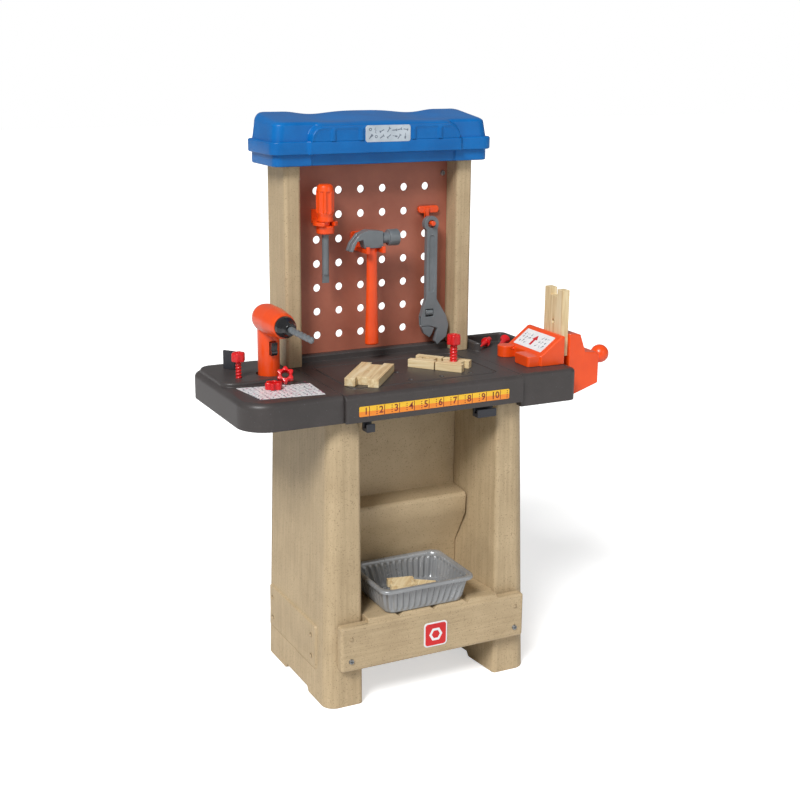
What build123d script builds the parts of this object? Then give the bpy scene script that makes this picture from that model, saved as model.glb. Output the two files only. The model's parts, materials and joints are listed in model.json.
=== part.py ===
from build123d import *
import os
from math import cos, pi, radians, sin

# A toddler's play workbench in millimetres. +Z is up, the child stands on the -Y side.
# Every place below is given from three datums: the bench's left-right symmetry plane (x = 0),
# the front face of the peg board (y = 0) and the floor (z = 0).

os.makedirs("parts", exist_ok=True)

# ---- overall sizes -------------------------------------------------------------------------
BENCH_HEIGHT = 918.0
LEFT_REACH = 310.0
KNOB_REACH = 370.0
BIT_REACH = 257.0
ROOF_BACK = 62.0

# ---- walls and clearances ------------------------------------------------------------------
WALL = 4.0
RUN_FIT = 0.05
SLIP = 0.4
SOFT_GAP = 0.3

# ---- base cabinet --------------------------------------------------------------------------
FOOT_HALF = 185.0
LEG_TOP_HALF = 172.0
BAY_HALF_FRONT = 121.0
BAY_HALF_BACK = 110.0
FOOT_FRONT = 224.5
LEG_TOP_FRONT = 215.0
BASE_BACK = 26.0
BAY_BACK = 105.0
LEG_CORNER = 22.0
LEG_BACK_CORNER = 10.0
BAY_CORNER = 7.0
BASE_HEIGHT = 473.0
SIDE_ARCH_RISE = 8.0
SIDE_ARCH_FRONT = 150.0
SIDE_ARCH_BACK = 50.0
SHELF_TOP = 150.0
SHELF_THICK = 12.0
PLANK_WIDTH = 62.0
PLANK_GROOVE = 5.0
RAIL_HALF = 166.0
RAIL_FRONT = 241.0
RAIL_BOTTOM = 68.0
RAIL_TOP = 144.0
BACK_BOTTOM = 62.0
PANEL_INSET = 2.0
LEDGE_FRONT = 140.0
LEDGE_LOW = 262.0
LEDGE_TOP = 298.0
LEDGE_TOE = 202.0
UPPER_WALL = 98.0
RELIEF_LOW = 54.0
RELIEF_HIGH = 128.0
RELIEF_FRONT = 181.0
RELIEF_PROUD = 3.0
NAIL_R = 3.4

# ---- counter -------------------------------------------------------------------------------
COUNTER_TOP = 516.0
CENTRE_HALF = 154.8
SEAM = 0.4
CENTRE_FRONT = 238.0
COUNTER_BACK = 30.0
GROOVE_HALF = 131.0
GROOVE_FRONT = 202.0
GROOVE_BACK = 45.0
GROOVE_WIDTH = 4.0
GROOVE_DEPTH = 1.5
RISER_HEIGHT = 12.0
LEFT_FRONT = 231.0
LEFT_CORNER = 45.0
BACK_CORNER = 30.0
PLATFORM_RISE = 7.0
DOCK_X = (-303.0, -187.0)
DOCK_Y = (-116.0, 16.0)
DOCK_CORNER = 22.0
RIGHT_REACH = 262.0
RIGHT_BOTTOM = BASE_HEIGHT - 10.0
RIGHT_BACK = 8.0
TRAY_RIM_FRONT = -58.0
TRAY_RIM_RISE = 16.0
TRAY_RIM_THICK = 9.0

# ---- uprights, peg board and roof ----------------------------------------------------------
POST_INNER = 140.0
POST_OUTER = 168.0
POST_FRONT = 36.0
POST_BACK = 40.0
BOARD_THICK = 4.0
PEG_HOLE_R = 6.35
PEG_PITCH = 39.5
PEG_COLUMNS = 6
PEG_ROWS = 7
ROOF_LOW = BENCH_HEIGHT - 79.0
PEG_TOP_ROW = ROOF_LOW - 44.3
ROOF_HALF = 190.0
ROOF_FRONT = 50.0
RIM_LOW = ROOF_LOW + 18.0
RIM_HIGH = RIM_LOW + 20.0
RIM_PROUD = 6.0
ARCH_HALF = 134.0
ARCH_PROUD = 9.0

# ---- screws --------------------------------------------------------------------------------
SCREW_R = 2.0
SCREW_HEAD_R = 4.5
SCREW_HEAD = 2.6

# ---- worked-out places ---------------------------------------------------------------------
X0 = (LEFT_REACH - KNOB_REACH) / 2
Y0 = (BIT_REACH - ROOF_BACK) / 2
BOARD_LOW = COUNTER_TOP + RISER_HEIGHT
BOARD_HIGH = ROOF_LOW - 4.0
ROOF_INNER_TOP = BENCH_HEIGHT - 12.0


def level(z):
    """Horizontal plane at height z: local x is X and local y is Y."""
    return Plane(origin=(X0, Y0, z))


def facing(y):
    """Upright plane at depth y that faces the child: local x is X, local y is Z."""
    return Plane(origin=(X0, Y0 + y, 0), x_dir=(1, 0, 0), z_dir=(0, -1, 0))


def across(x):
    """Upright plane at x that faces +X: local x is Y, local y is Z."""
    return Plane(origin=(X0 + x, Y0, 0), x_dir=(0, 1, 0), z_dir=(1, 0, 0))


def place(x, y, z):
    return (X0 + x, Y0 + y, z)


def save(builder, name):
    builder.part.label = name
    export_step(builder.part, f"parts/{name}.step")


def peg_x(column):
    return (column - (PEG_COLUMNS - 1) / 2) * PEG_PITCH


def peg_z(row):
    return PEG_TOP_ROW - row * PEG_PITCH


def nearest(shapes, x, y, z):
    """The edges whose centre is nearest to one place on the bench."""
    target = Vector(*place(x, y, z))
    return shapes.sort_by(lambda edge: (edge.center() - target).length)[0]


def sketch_corner(sketch, x, y):
    """The corner of a level sketch that is nearest to (x, y) on the bench."""
    return sketch.vertices().sort_by(lambda corner: (corner.X - x) ** 2 + (corner.Y - y) ** 2)[0]


# ============================================================================================
# BASE CABINET
# ============================================================================================
def leg_outline(side, outer, front, bay_front):
    """Plan of one side panel: the bay's face leans inwards towards the back."""
    return [
        (side * bay_front, -front),
        (side * outer, -front),
        (side * outer, BASE_BACK),
        (side * BAY_HALF_BACK, BASE_BACK),
        (side * BAY_HALF_BACK, -BAY_BACK),
    ]


def make_side_panel(name, side):
    foot_plan = leg_outline(side, FOOT_HALF, FOOT_FRONT, BAY_HALF_FRONT)
    top_plan = leg_outline(side, LEG_TOP_HALF, LEG_TOP_FRONT, BAY_HALF_FRONT)
    with BuildPart() as panel:
        with BuildSketch(level(0)):
            Polygon(*foot_plan, align=None)
        with BuildSketch(level(BASE_HEIGHT)):
            Polygon(*top_plan, align=None)
        loft(ruled=True)
        uprights = panel.edges().filter_by(lambda e: e.length > BASE_HEIGHT * 0.9)
        fillet(nearest(uprights, side * FOOT_HALF, -FOOT_FRONT, BASE_HEIGHT / 2), radius=LEG_CORNER)
        uprights = panel.edges().filter_by(lambda e: e.length > BASE_HEIGHT * 0.9)
        fillet(nearest(uprights, side * FOOT_HALF, BASE_BACK, BASE_HEIGHT / 2), radius=LEG_BACK_CORNER)
        uprights = panel.edges().filter_by(lambda e: e.length > BASE_HEIGHT * 0.9)
        fillet(nearest(uprights, side * BAY_HALF_FRONT, -FOOT_FRONT, BASE_HEIGHT / 2), radius=BAY_CORNER)
        # the hollow of the moulding, open at the top under the counter
        with BuildSketch(level(SIDE_ARCH_RISE + WALL)) as low_hollow:
            Polygon(*foot_plan, align=None)
            offset(amount=-WALL - 0.5, kind=Kind.INTERSECTION)
            chamfer(sketch_corner(low_hollow, side * FOOT_HALF, -FOOT_FRONT), length=LEG_CORNER * 0.65)
            chamfer(sketch_corner(low_hollow, side * FOOT_HALF, BASE_BACK), length=LEG_BACK_CORNER * 0.65)
        with BuildSketch(level(BASE_HEIGHT + 1)) as high_hollow:
            Polygon(*top_plan, align=None)
            offset(amount=-WALL, kind=Kind.INTERSECTION)
            chamfer(sketch_corner(high_hollow, side * LEG_TOP_HALF, -LEG_TOP_FRONT), length=LEG_CORNER * 0.65)
            chamfer(sketch_corner(high_hollow, side * LEG_TOP_HALF, BASE_BACK), length=LEG_BACK_CORNER * 0.65)
        loft(ruled=True, mode=Mode.SUBTRACT)
        # shallow arch under the side between the back foot and the front foot
        arch_mid = -(SIDE_ARCH_FRONT + SIDE_ARCH_BACK) / 2
        arch_half = (SIDE_ARCH_FRONT - SIDE_ARCH_BACK) / 2
        with BuildSketch(across(-FOOT_HALF - 10)):
            with BuildLine():
                Polyline(
                    (arch_mid - arch_half, -1),
                    (arch_mid - arch_half + 6, SIDE_ARCH_RISE),
                    (arch_mid + arch_half - 6, SIDE_ARCH_RISE),
                    (arch_mid + arch_half, -1),
                    close=True,
                )
            make_face()
        extrude(amount=2 * FOOT_HALF + 20, mode=Mode.SUBTRACT)
        # the raised board moulded on the outside, with its four nail heads
        lean = (FOOT_HALF - LEG_TOP_HALF) / BASE_HEIGHT
        relief_mid = (RELIEF_LOW + RELIEF_HIGH) / 2
        relief_face = FOOT_HALF - lean * relief_mid + RELIEF_PROUD
        relief_back = BASE_BACK - 11
        sheet = Plane(
            origin=place(side * (relief_face - RELIEF_PROUD - 2), 0, 0),
            x_dir=(0, 1, 0),
            z_dir=(side, 0, 0),
        )
        with BuildSketch(sheet):
            with Locations(((relief_back - RELIEF_FRONT) / 2, side * relief_mid)):
                RectangleRounded(
                    relief_back + RELIEF_FRONT,
                    RELIEF_HIGH - RELIEF_LOW,
                    4,
                )
        extrude(amount=RELIEF_PROUD + 2)
        nail_ys = (-RELIEF_FRONT + 14, relief_back - 16)
        nail_zs = (side * (relief_mid - 18), side * (relief_mid + 18))
        with BuildSketch(sheet.offset(RELIEF_PROUD + 1)):
            with Locations(*[(y, z) for y in nail_ys for z in nail_zs]):
                Circle(NAIL_R)
        extrude(amount=1.6)
    save(panel, name)


make_side_panel("left_side_panel", -1)
make_side_panel("right_side_panel", 1)

# the back of the bay: a hollow moulding whose front steps out into a ledge
def back_outline(top):
    """Section of the back panel: upper wall, ledge, toe and lower wall."""
    return [
        (BASE_BACK - PANEL_INSET, BACK_BOTTOM),
        (BASE_BACK - PANEL_INSET, top),
        (-UPPER_WALL, top),
        (-UPPER_WALL + 3, LEDGE_TOP + 4),
        (-LEDGE_FRONT + 4, LEDGE_TOP),
        (-LEDGE_FRONT, LEDGE_TOP - 5),
        (-LEDGE_FRONT + 1, LEDGE_LOW),
        (-BAY_BACK, LEDGE_TOE),
        (-BAY_BACK, BACK_BOTTOM),
    ]


with BuildPart() as back_panel:
    with BuildSketch(across(-BAY_HALF_BACK)):
        Polygon(*back_outline(BASE_HEIGHT), align=None)
    extrude(amount=2 * BAY_HALF_BACK)
    with BuildSketch(across(-BAY_HALF_BACK + WALL)):
        Polygon(*back_outline(BASE_HEIGHT + 2 * WALL), align=None)
        offset(amount=-WALL, kind=Kind.INTERSECTION)
    extrude(amount=2 * (BAY_HALF_BACK - WALL), mode=Mode.SUBTRACT)
save(back_panel, "back_panel")

with BuildPart() as shelf:
    with BuildSketch(level(SHELF_TOP - SHELF_THICK)):
        Polygon(
            (-BAY_HALF_FRONT, -LEG_TOP_FRONT - 1),
            (BAY_HALF_FRONT, -LEG_TOP_FRONT - 1),
            (BAY_HALF_BACK, -BAY_BACK),
            (-BAY_HALF_BACK, -BAY_BACK),
            align=None,
        )
        offset(amount=-0.6, kind=Kind.INTERSECTION)
    extrude(amount=SHELF_THICK)
    # front rail: a board in front of the legs, hollow from behind
    rail_back = FOOT_FRONT
    with BuildSketch(facing(-rail_back)):
        with Locations((0, (RAIL_TOP + RAIL_BOTTOM) / 2)):
            RectangleRounded(2 * RAIL_HALF, RAIL_TOP - RAIL_BOTTOM, 5)
    extrude(amount=RAIL_FRONT - rail_back)
    fillet(
        shelf.edges().filter_by(lambda e: abs(e.center().Y - (Y0 - RAIL_FRONT)) < 0.01),
        radius=5,
    )
    # the shelf runs forward over the rail
    with BuildSketch(level(RAIL_TOP - 14)):
        with Locations((0, -(RAIL_FRONT - 6 + LEG_TOP_FRONT) / 2)):
            Rectangle(2 * (BAY_HALF_FRONT - 4), RAIL_FRONT - 6 - LEG_TOP_FRONT + 4)
    extrude(amount=SHELF_TOP - RAIL_TOP + 14)
    nose = shelf.edges().filter_by(Axis.X).sort_by(Axis.Z)[-6:]
    fillet(nose.sort_by(Axis.Y)[0], radius=5.5)
    with BuildSketch(facing(-rail_back + 0.01)):
        with Locations((0, (RAIL_TOP + RAIL_BOTTOM) / 2 - 4)):
            Rectangle(2 * (BAY_HALF_FRONT - 8), RAIL_TOP - RAIL_BOTTOM - 16)
    extrude(amount=RAIL_FRONT - rail_back - WALL, mode=Mode.SUBTRACT)
    # V grooves between the planks, running from front to back
    with BuildSketch(facing(-BAY_BACK + 1)):
        for column in (-1, 0, 1):
            with Locations((column * PLANK_WIDTH, SHELF_TOP)):
                Polygon((-7, 0.01), (0, -PLANK_GROOVE), (7, 0.01), align=None)
    extrude(amount=RAIL_FRONT, mode=Mode.SUBTRACT)
    # moulded nail dimples at the rail's ends, and two screw holes low on each side
    dimples = [(s * (RAIL_HALF - 17), z) for s in (-1, 1) for z in (RAIL_TOP - 20,)]
    with BuildSketch(facing(-RAIL_FRONT)):
        with Locations(*dimples):
            Circle(NAIL_R)
    extrude(amount=1.0)
    with BuildSketch(facing(-RAIL_FRONT)):
        with Locations(*[(s * (RAIL_HALF - 17), RAIL_BOTTOM + 18) for s in (-1, 1)]):
            Circle(SCREW_R + 0.2)
    extrude(amount=-(RAIL_FRONT - rail_back) - 1, mode=Mode.SUBTRACT)
save(shelf, "shelf_and_rail")


def make_screws(name, plane, spots, length, head_r=SCREW_HEAD_R):
    """Pan-head screws whose heads stand on the plane and whose shanks go down into it."""
    with BuildPart() as screws:
        with BuildSketch(plane):
            with Locations(*spots):
                Circle(head_r)
        extrude(amount=SCREW_HEAD)
        with BuildSketch(plane):
            with Locations(*spots):
                Circle(SCREW_R)
        extrude(amount=-length)
    save(screws, name)


RAIL_SCREW_SPOTS = [(s * (RAIL_HALF - 17), RAIL_BOTTOM + 18) for s in (-1, 1)]
make_screws("rail_screws", facing(-RAIL_FRONT), RAIL_SCREW_SPOTS, RAIL_FRONT - FOOT_FRONT - 0.5)

BADGE_SIZE = 42.0
BADGE_THICK = 1.2
with BuildPart() as badge:
    with BuildSketch(facing(-RAIL_FRONT)):
        with Locations((0, (RAIL_TOP + RAIL_BOTTOM) / 2 - 2)):
            RectangleRounded(BADGE_SIZE, BADGE_SIZE, 6)
    extrude(amount=BADGE_THICK)
save(badge, "front_badge")

# ============================================================================================
# COUNTER
# ============================================================================================
POST_SCREW_SPOTS = [(s * (POST_INNER + 5.5), y) for s in (-1, 1) for y in (-18, 22)]
DIMPLE_SPOTS = [(-73, -184), (-19, -184), (35, -184), (88, -184), (-18, -132), (48, -132)]

with BuildPart() as centre_counter:
    with BuildSketch(level(BASE_HEIGHT)):
        with Locations((0, (COUNTER_BACK - CENTRE_FRONT) / 2)):
            Rectangle(2 * CENTRE_HALF, CENTRE_FRONT + COUNTER_BACK)
    extrude(amount=COUNTER_TOP - BASE_HEIGHT)
    front_edges = centre_counter.edges().filter_by(
        lambda e: abs(e.center().Y - (Y0 - CENTRE_FRONT)) < 0.01
    )
    fillet(front_edges.filter_by(Axis.X).sort_by(Axis.Z)[-1], radius=9)
    with BuildSketch(level(BASE_HEIGHT)):
        with Locations((0, (COUNTER_BACK - CENTRE_FRONT) / 2)):
            Rectangle(2 * (CENTRE_HALF - WALL), CENTRE_FRONT + COUNTER_BACK - 2 * WALL)
    extrude(amount=COUNTER_TOP - BASE_HEIGHT - WALL, mode=Mode.SUBTRACT)
    # riser at the back that the peg board stands on
    with BuildSketch(level(COUNTER_TOP)):
        with Locations((0, 0)):
            Rectangle(2 * (POST_INNER - SOFT_GAP), 20)
    extrude(amount=RISER_HEIGHT)
    fillet(
        centre_counter.edges().filter_by(Axis.X).group_by(Axis.Z)[-1].sort_by(Axis.Y)[0],
        radius=4,
    )
    # the frame groove on the work surface and its shallow bolt dimples
    groove_mid = -(GROOVE_FRONT + GROOVE_BACK) / 2
    with BuildSketch(level(COUNTER_TOP)):
        with Locations((0, groove_mid)):
            RectangleRounded(2 * GROOVE_HALF, GROOVE_FRONT - GROOVE_BACK, 14)
            RectangleRounded(
                2 * (GROOVE_HALF - GROOVE_WIDTH),
                GROOVE_FRONT - GROOVE_BACK - 2 * GROOVE_WIDTH,
                10,
                mode=Mode.SUBTRACT,
            )
    extrude(amount=-GROOVE_DEPTH, mode=Mode.SUBTRACT)
    with BuildSketch(level(COUNTER_TOP)):
        with Locations(*DIMPLE_SPOTS):
            Circle(4.5)
    extrude(amount=-2, mode=Mode.SUBTRACT)
    with BuildSketch(level(COUNTER_TOP)):
        with Locations(*POST_SCREW_SPOTS):
            Circle(SCREW_R + 0.2)
    extrude(amount=-WALL - 1, mode=Mode.SUBTRACT)
save(centre_counter, "centre_counter")

RULER_HALF = 131.0
RULER_HEIGHT = 16.0
RULER_MID = COUNTER_TOP - 26.0
LABEL_THICK = 0.6
with BuildPart() as ruler:
    with BuildSketch(facing(-CENTRE_FRONT)):
        with Locations((-3, RULER_MID)):
            RectangleRounded(2 * RULER_HALF, RULER_HEIGHT, 2)
    extrude(amount=LABEL_THICK)
save(ruler, "ruler_strip")


def make_apron_hook(name, x_mid, width):
    """A J hook under the apron: a plate behind the front wall and a lip turned up."""
    hook_back = -CENTRE_FRONT + WALL + 16
    with BuildPart() as hook:
        with BuildSketch(across(x_mid - width / 2)):
            with BuildLine():
                Polyline(
                    (hook_back, BASE_HEIGHT + 20),
                    (hook_back - 6, BASE_HEIGHT + 20),
                    (hook_back - 6, BASE_HEIGHT - 12),
                    (-CENTRE_FRONT + 6, BASE_HEIGHT - 12),
                    (-CENTRE_FRONT + 6, BASE_HEIGHT - 5),
                    (-CENTRE_FRONT + 2, BASE_HEIGHT - 5),
                    (-CENTRE_FRONT + 2, BASE_HEIGHT - 18),
                    (hook_back, BASE_HEIGHT - 18),
                    close=True,
                )
            make_face()
        extrude(amount=width)
        with BuildSketch(across(x_mid - width / 2)):
            Polygon(
                (-CENTRE_FRONT + WALL, BASE_HEIGHT + 14),
                (hook_back - 6, BASE_HEIGHT + 14),
                (hook_back - 6, BASE_HEIGHT + 20),
                (-CENTRE_FRONT + WALL, BASE_HEIGHT + 20),
                align=None,
            )
        extrude(amount=width)
    save(hook, name)


make_apron_hook("left_apron_hook", -113, 14)
make_apron_hook("right_apron_hook", 90, 34)

WING_INNER = CENTRE_HALF + SEAM
PLATFORM_TOP = COUNTER_TOP + PLATFORM_RISE
DRILL_X = -215.0
DRILL_HANDLE_Y = -77.0
SOCKET_BOLT = (-268.0, -84.0)

with BuildPart() as left_wing:
    wing_middle = (-(LEFT_REACH + WING_INNER) / 2, (COUNTER_BACK - LEFT_FRONT) / 2)
    with BuildSketch(level(BASE_HEIGHT)) as wing_outline:
        with Locations(wing_middle):
            Rectangle(LEFT_REACH - WING_INNER, LEFT_FRONT + COUNTER_BACK)
        outer_corners = wing_outline.vertices().group_by(Axis.X)[0].sort_by(Axis.Y)
        fillet(outer_corners[0], radius=LEFT_CORNER)
        fillet(wing_outline.vertices().sort_by(Axis.Y)[-2:].sort_by(Axis.X)[0], radius=BACK_CORNER)
    extrude(amount=COUNTER_TOP - BASE_HEIGHT)
    soft_edges = left_wing.faces().sort_by(Axis.Z)[-1].edges().filter_by(
        lambda e: e.center().X < X0 - WING_INNER - 1
    )
    fillet(soft_edges, radius=9)
    with BuildSketch(level(BASE_HEIGHT)) as wing_hollow:
        with Locations(wing_middle):
            Rectangle(
                LEFT_REACH - WING_INNER - 2 * WALL, LEFT_FRONT + COUNTER_BACK - 2 * WALL
            )
        hollow_corners = wing_hollow.vertices().group_by(Axis.X)[0].sort_by(Axis.Y)
        fillet(hollow_corners[0], radius=LEFT_CORNER - WALL)
        fillet(wing_hollow.vertices().sort_by(Axis.Y)[-2:].sort_by(Axis.X)[0], radius=BACK_CORNER - WALL)
    extrude(amount=COUNTER_TOP - BASE_HEIGHT - 2 * WALL, mode=Mode.SUBTRACT)
    # the raised dock at the back holds the drill, the tab and the bolt
    with BuildSketch(level(COUNTER_TOP - 5)):
        with Locations(((DOCK_X[0] + DOCK_X[1]) / 2, (DOCK_Y[0] + DOCK_Y[1]) / 2)):
            RectangleRounded(DOCK_X[1] - DOCK_X[0], DOCK_Y[1] - DOCK_Y[0], DOCK_CORNER)
    extrude(amount=PLATFORM_RISE + 5)
    fillet(left_wing.faces().sort_by(Axis.Z)[-1].edges(), radius=4)
    with BuildSketch(level(PLATFORM_TOP)):
        with Locations((DRILL_X, DRILL_HANDLE_Y)):
            Ellipse(20, 22)
    extrude(amount=-4, mode=Mode.SUBTRACT)
    with BuildSketch(level(PLATFORM_TOP)):
        with Locations(SOCKET_BOLT):
            Circle(5.2)
    extrude(amount=-7, mode=Mode.SUBTRACT)
save(left_wing, "left_wing")

LABEL_CORNERS = [(-286, -122), (-276, -199), (-177, -211), (-172, -139)]
with BuildPart() as wing_label:
    with BuildSketch(level(COUNTER_TOP)):
        Polygon(*LABEL_CORNERS, align=None)
    extrude(amount=LABEL_THICK)
save(wing_label, "wing_label")

with BuildPart() as right_wing:
    wing_mid_x = (RIGHT_REACH + WING_INNER) / 2
    with BuildSketch(level(RIGHT_BOTTOM)):
        with Locations((wing_mid_x, (RIGHT_BACK - LEFT_FRONT) / 2)):
            Rectangle(RIGHT_REACH - WING_INNER, LEFT_FRONT + RIGHT_BACK)
    extrude(amount=COUNTER_TOP - RIGHT_BOTTOM)
    corners = right_wing.edges().filter_by(Axis.Z)
    fillet(nearest(corners, RIGHT_REACH, -LEFT_FRONT, COUNTER_TOP), radius=14)
    corners = right_wing.edges().filter_by(Axis.Z)
    fillet(nearest(corners, RIGHT_REACH, RIGHT_BACK, COUNTER_TOP), radius=16)
    front_top = right_wing.faces().sort_by(Axis.Z)[-1].edges()
    fillet(front_top.filter_by(Axis.X).sort_by(Axis.Y)[0], radius=7)
    with BuildSketch(level(RIGHT_BOTTOM)):
        with Locations((wing_mid_x, (RIGHT_BACK - LEFT_FRONT) / 2)):
            Rectangle(RIGHT_REACH - WING_INNER - 2 * WALL, LEFT_FRONT + RIGHT_BACK - 2 * WALL)
    extrude(amount=COUNTER_TOP - RIGHT_BOTTOM - WALL, mode=Mode.SUBTRACT)
    # the wing's lower part stops at the side panel, whose top carries it
    with BuildSketch(level(RIGHT_BOTTOM)):
        with Locations(((WING_INNER + LEG_TOP_HALF) / 2, (BASE_BACK - LEG_TOP_FRONT) / 2)):
            Rectangle(LEG_TOP_HALF - WING_INNER + 2, BASE_BACK + LEG_TOP_FRONT + 2)
    extrude(amount=BASE_HEIGHT - RIGHT_BOTTOM, mode=Mode.SUBTRACT)
    # raised rim round the back of the small-parts tray
    rim_left = POST_OUTER + 1.5
    rim_depth = RIGHT_BACK - TRAY_RIM_FRONT
    with BuildSketch(level(COUNTER_TOP - 1)):
        with Locations(((rim_left + RIGHT_REACH) / 2, (TRAY_RIM_FRONT + RIGHT_BACK) / 2)):
            RectangleRounded(RIGHT_REACH - rim_left, rim_depth, 12)
        with Locations(((rim_left + RIGHT_REACH) / 2, (TRAY_RIM_FRONT + RIGHT_BACK) / 2 - 20)):
            RectangleRounded(
                RIGHT_REACH - rim_left - 2 * TRAY_RIM_THICK,
                rim_depth - 2 * TRAY_RIM_THICK + 40,
                8,
                mode=Mode.SUBTRACT,
            )
    extrude(amount=TRAY_RIM_RISE)
    fillet(right_wing.faces().sort_by(Axis.Z)[-1].edges(), radius=3)
save(right_wing, "right_wing")

# upright tab that stands in the dock, leaning back
TAB_SPOT = (-262.0, -26.0)
with BuildPart() as tab:
    with BuildSketch(Plane(origin=place(TAB_SPOT[0], TAB_SPOT[1], PLATFORM_TOP), x_dir=(0.6, -0.8, 0))):
        Rectangle(22, 4)
    extrude(amount=30)
    fillet(tab.edges().filter_by(Axis.Z), radius=1)
save(tab, "dock_tab")

# ============================================================================================
# UPRIGHTS, PEG BOARD, ROOF
# ============================================================================================
def make_post(name, side):
    with BuildPart() as post:
        with BuildSketch(level(COUNTER_TOP)):
            with Locations((side * (POST_INNER + POST_OUTER) / 2, (POST_BACK - POST_FRONT) / 2)):
                Rectangle(POST_OUTER - POST_INNER, POST_BACK + POST_FRONT)
        extrude(amount=ROOF_INNER_TOP - COUNTER_TOP)
        fillet(post.edges().filter_by(Axis.Z), radius=6)
        # lip behind the peg board's edge
        with BuildSketch(level(BOARD_LOW)):
            with Locations((side * (POST_INNER - 5), BOARD_THICK + 4)):
                Rectangle(18, 8)
        extrude(amount=BOARD_HIGH - BOARD_LOW)
        # open from the top, inside the roof; the solid foot takes the screws
        with BuildSketch(level(BOARD_LOW + 2)):
            with Locations((side * (POST_INNER + POST_OUTER) / 2, (POST_BACK - POST_FRONT) / 2)):
                RectangleRounded(
                    POST_OUTER - POST_INNER - 2 * WALL,
                    POST_BACK + POST_FRONT - 2 * WALL,
                    3,
                )
        extrude(amount=ROOF_INNER_TOP, mode=Mode.SUBTRACT)
        with BuildSketch(level(COUNTER_TOP)):
            with Locations(*[s for s in POST_SCREW_SPOTS if s[0] * side > 0]):
                Circle(SCREW_R + RUN_FIT)
        extrude(amount=RISER_HEIGHT, mode=Mode.SUBTRACT)
        with BuildSketch(facing(BOARD_THICK)):
            with Locations(*[s for s in BOARD_SCREW_SPOTS if s[0] * side > 0]):
                Circle(SCREW_R + RUN_FIT)
        extrude(amount=-8, mode=Mode.SUBTRACT)
    save(post, name)


BOARD_SCREW_SPOTS = [(s * (POST_INNER - 9), z) for s in (-1, 1) for z in (BOARD_LOW + 14, BOARD_HIGH - 20)]
make_post("left_post", -1)
make_post("right_post", 1)
make_screws(
    "post_screws",
    Plane(origin=(X0, Y0, COUNTER_TOP - WALL), x_dir=(1, 0, 0), z_dir=(0, 0, -1)),
    [(x, -y) for x, y in POST_SCREW_SPOTS],
    WALL + RISER_HEIGHT - 2,
    head_r=4,
)

with BuildPart() as peg_board:
    with BuildSketch(facing(0)):
        with Locations((0, (BOARD_LOW + BOARD_HIGH) / 2)):
            Rectangle(2 * (POST_INNER - SOFT_GAP), BOARD_HIGH - BOARD_LOW)
        with Locations(*[(peg_x(c), peg_z(r)) for c in range(PEG_COLUMNS) for r in range(PEG_ROWS)]):
            Circle(PEG_HOLE_R, mode=Mode.SUBTRACT)
        with Locations(*BOARD_SCREW_SPOTS):
            Circle(SCREW_R + 0.2, mode=Mode.SUBTRACT)
    extrude(amount=-BOARD_THICK)
save(peg_board, "peg_board")
make_screws("board_screws", facing(0), BOARD_SCREW_SPOTS, BOARD_THICK + 6, head_r=4.5)

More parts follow.
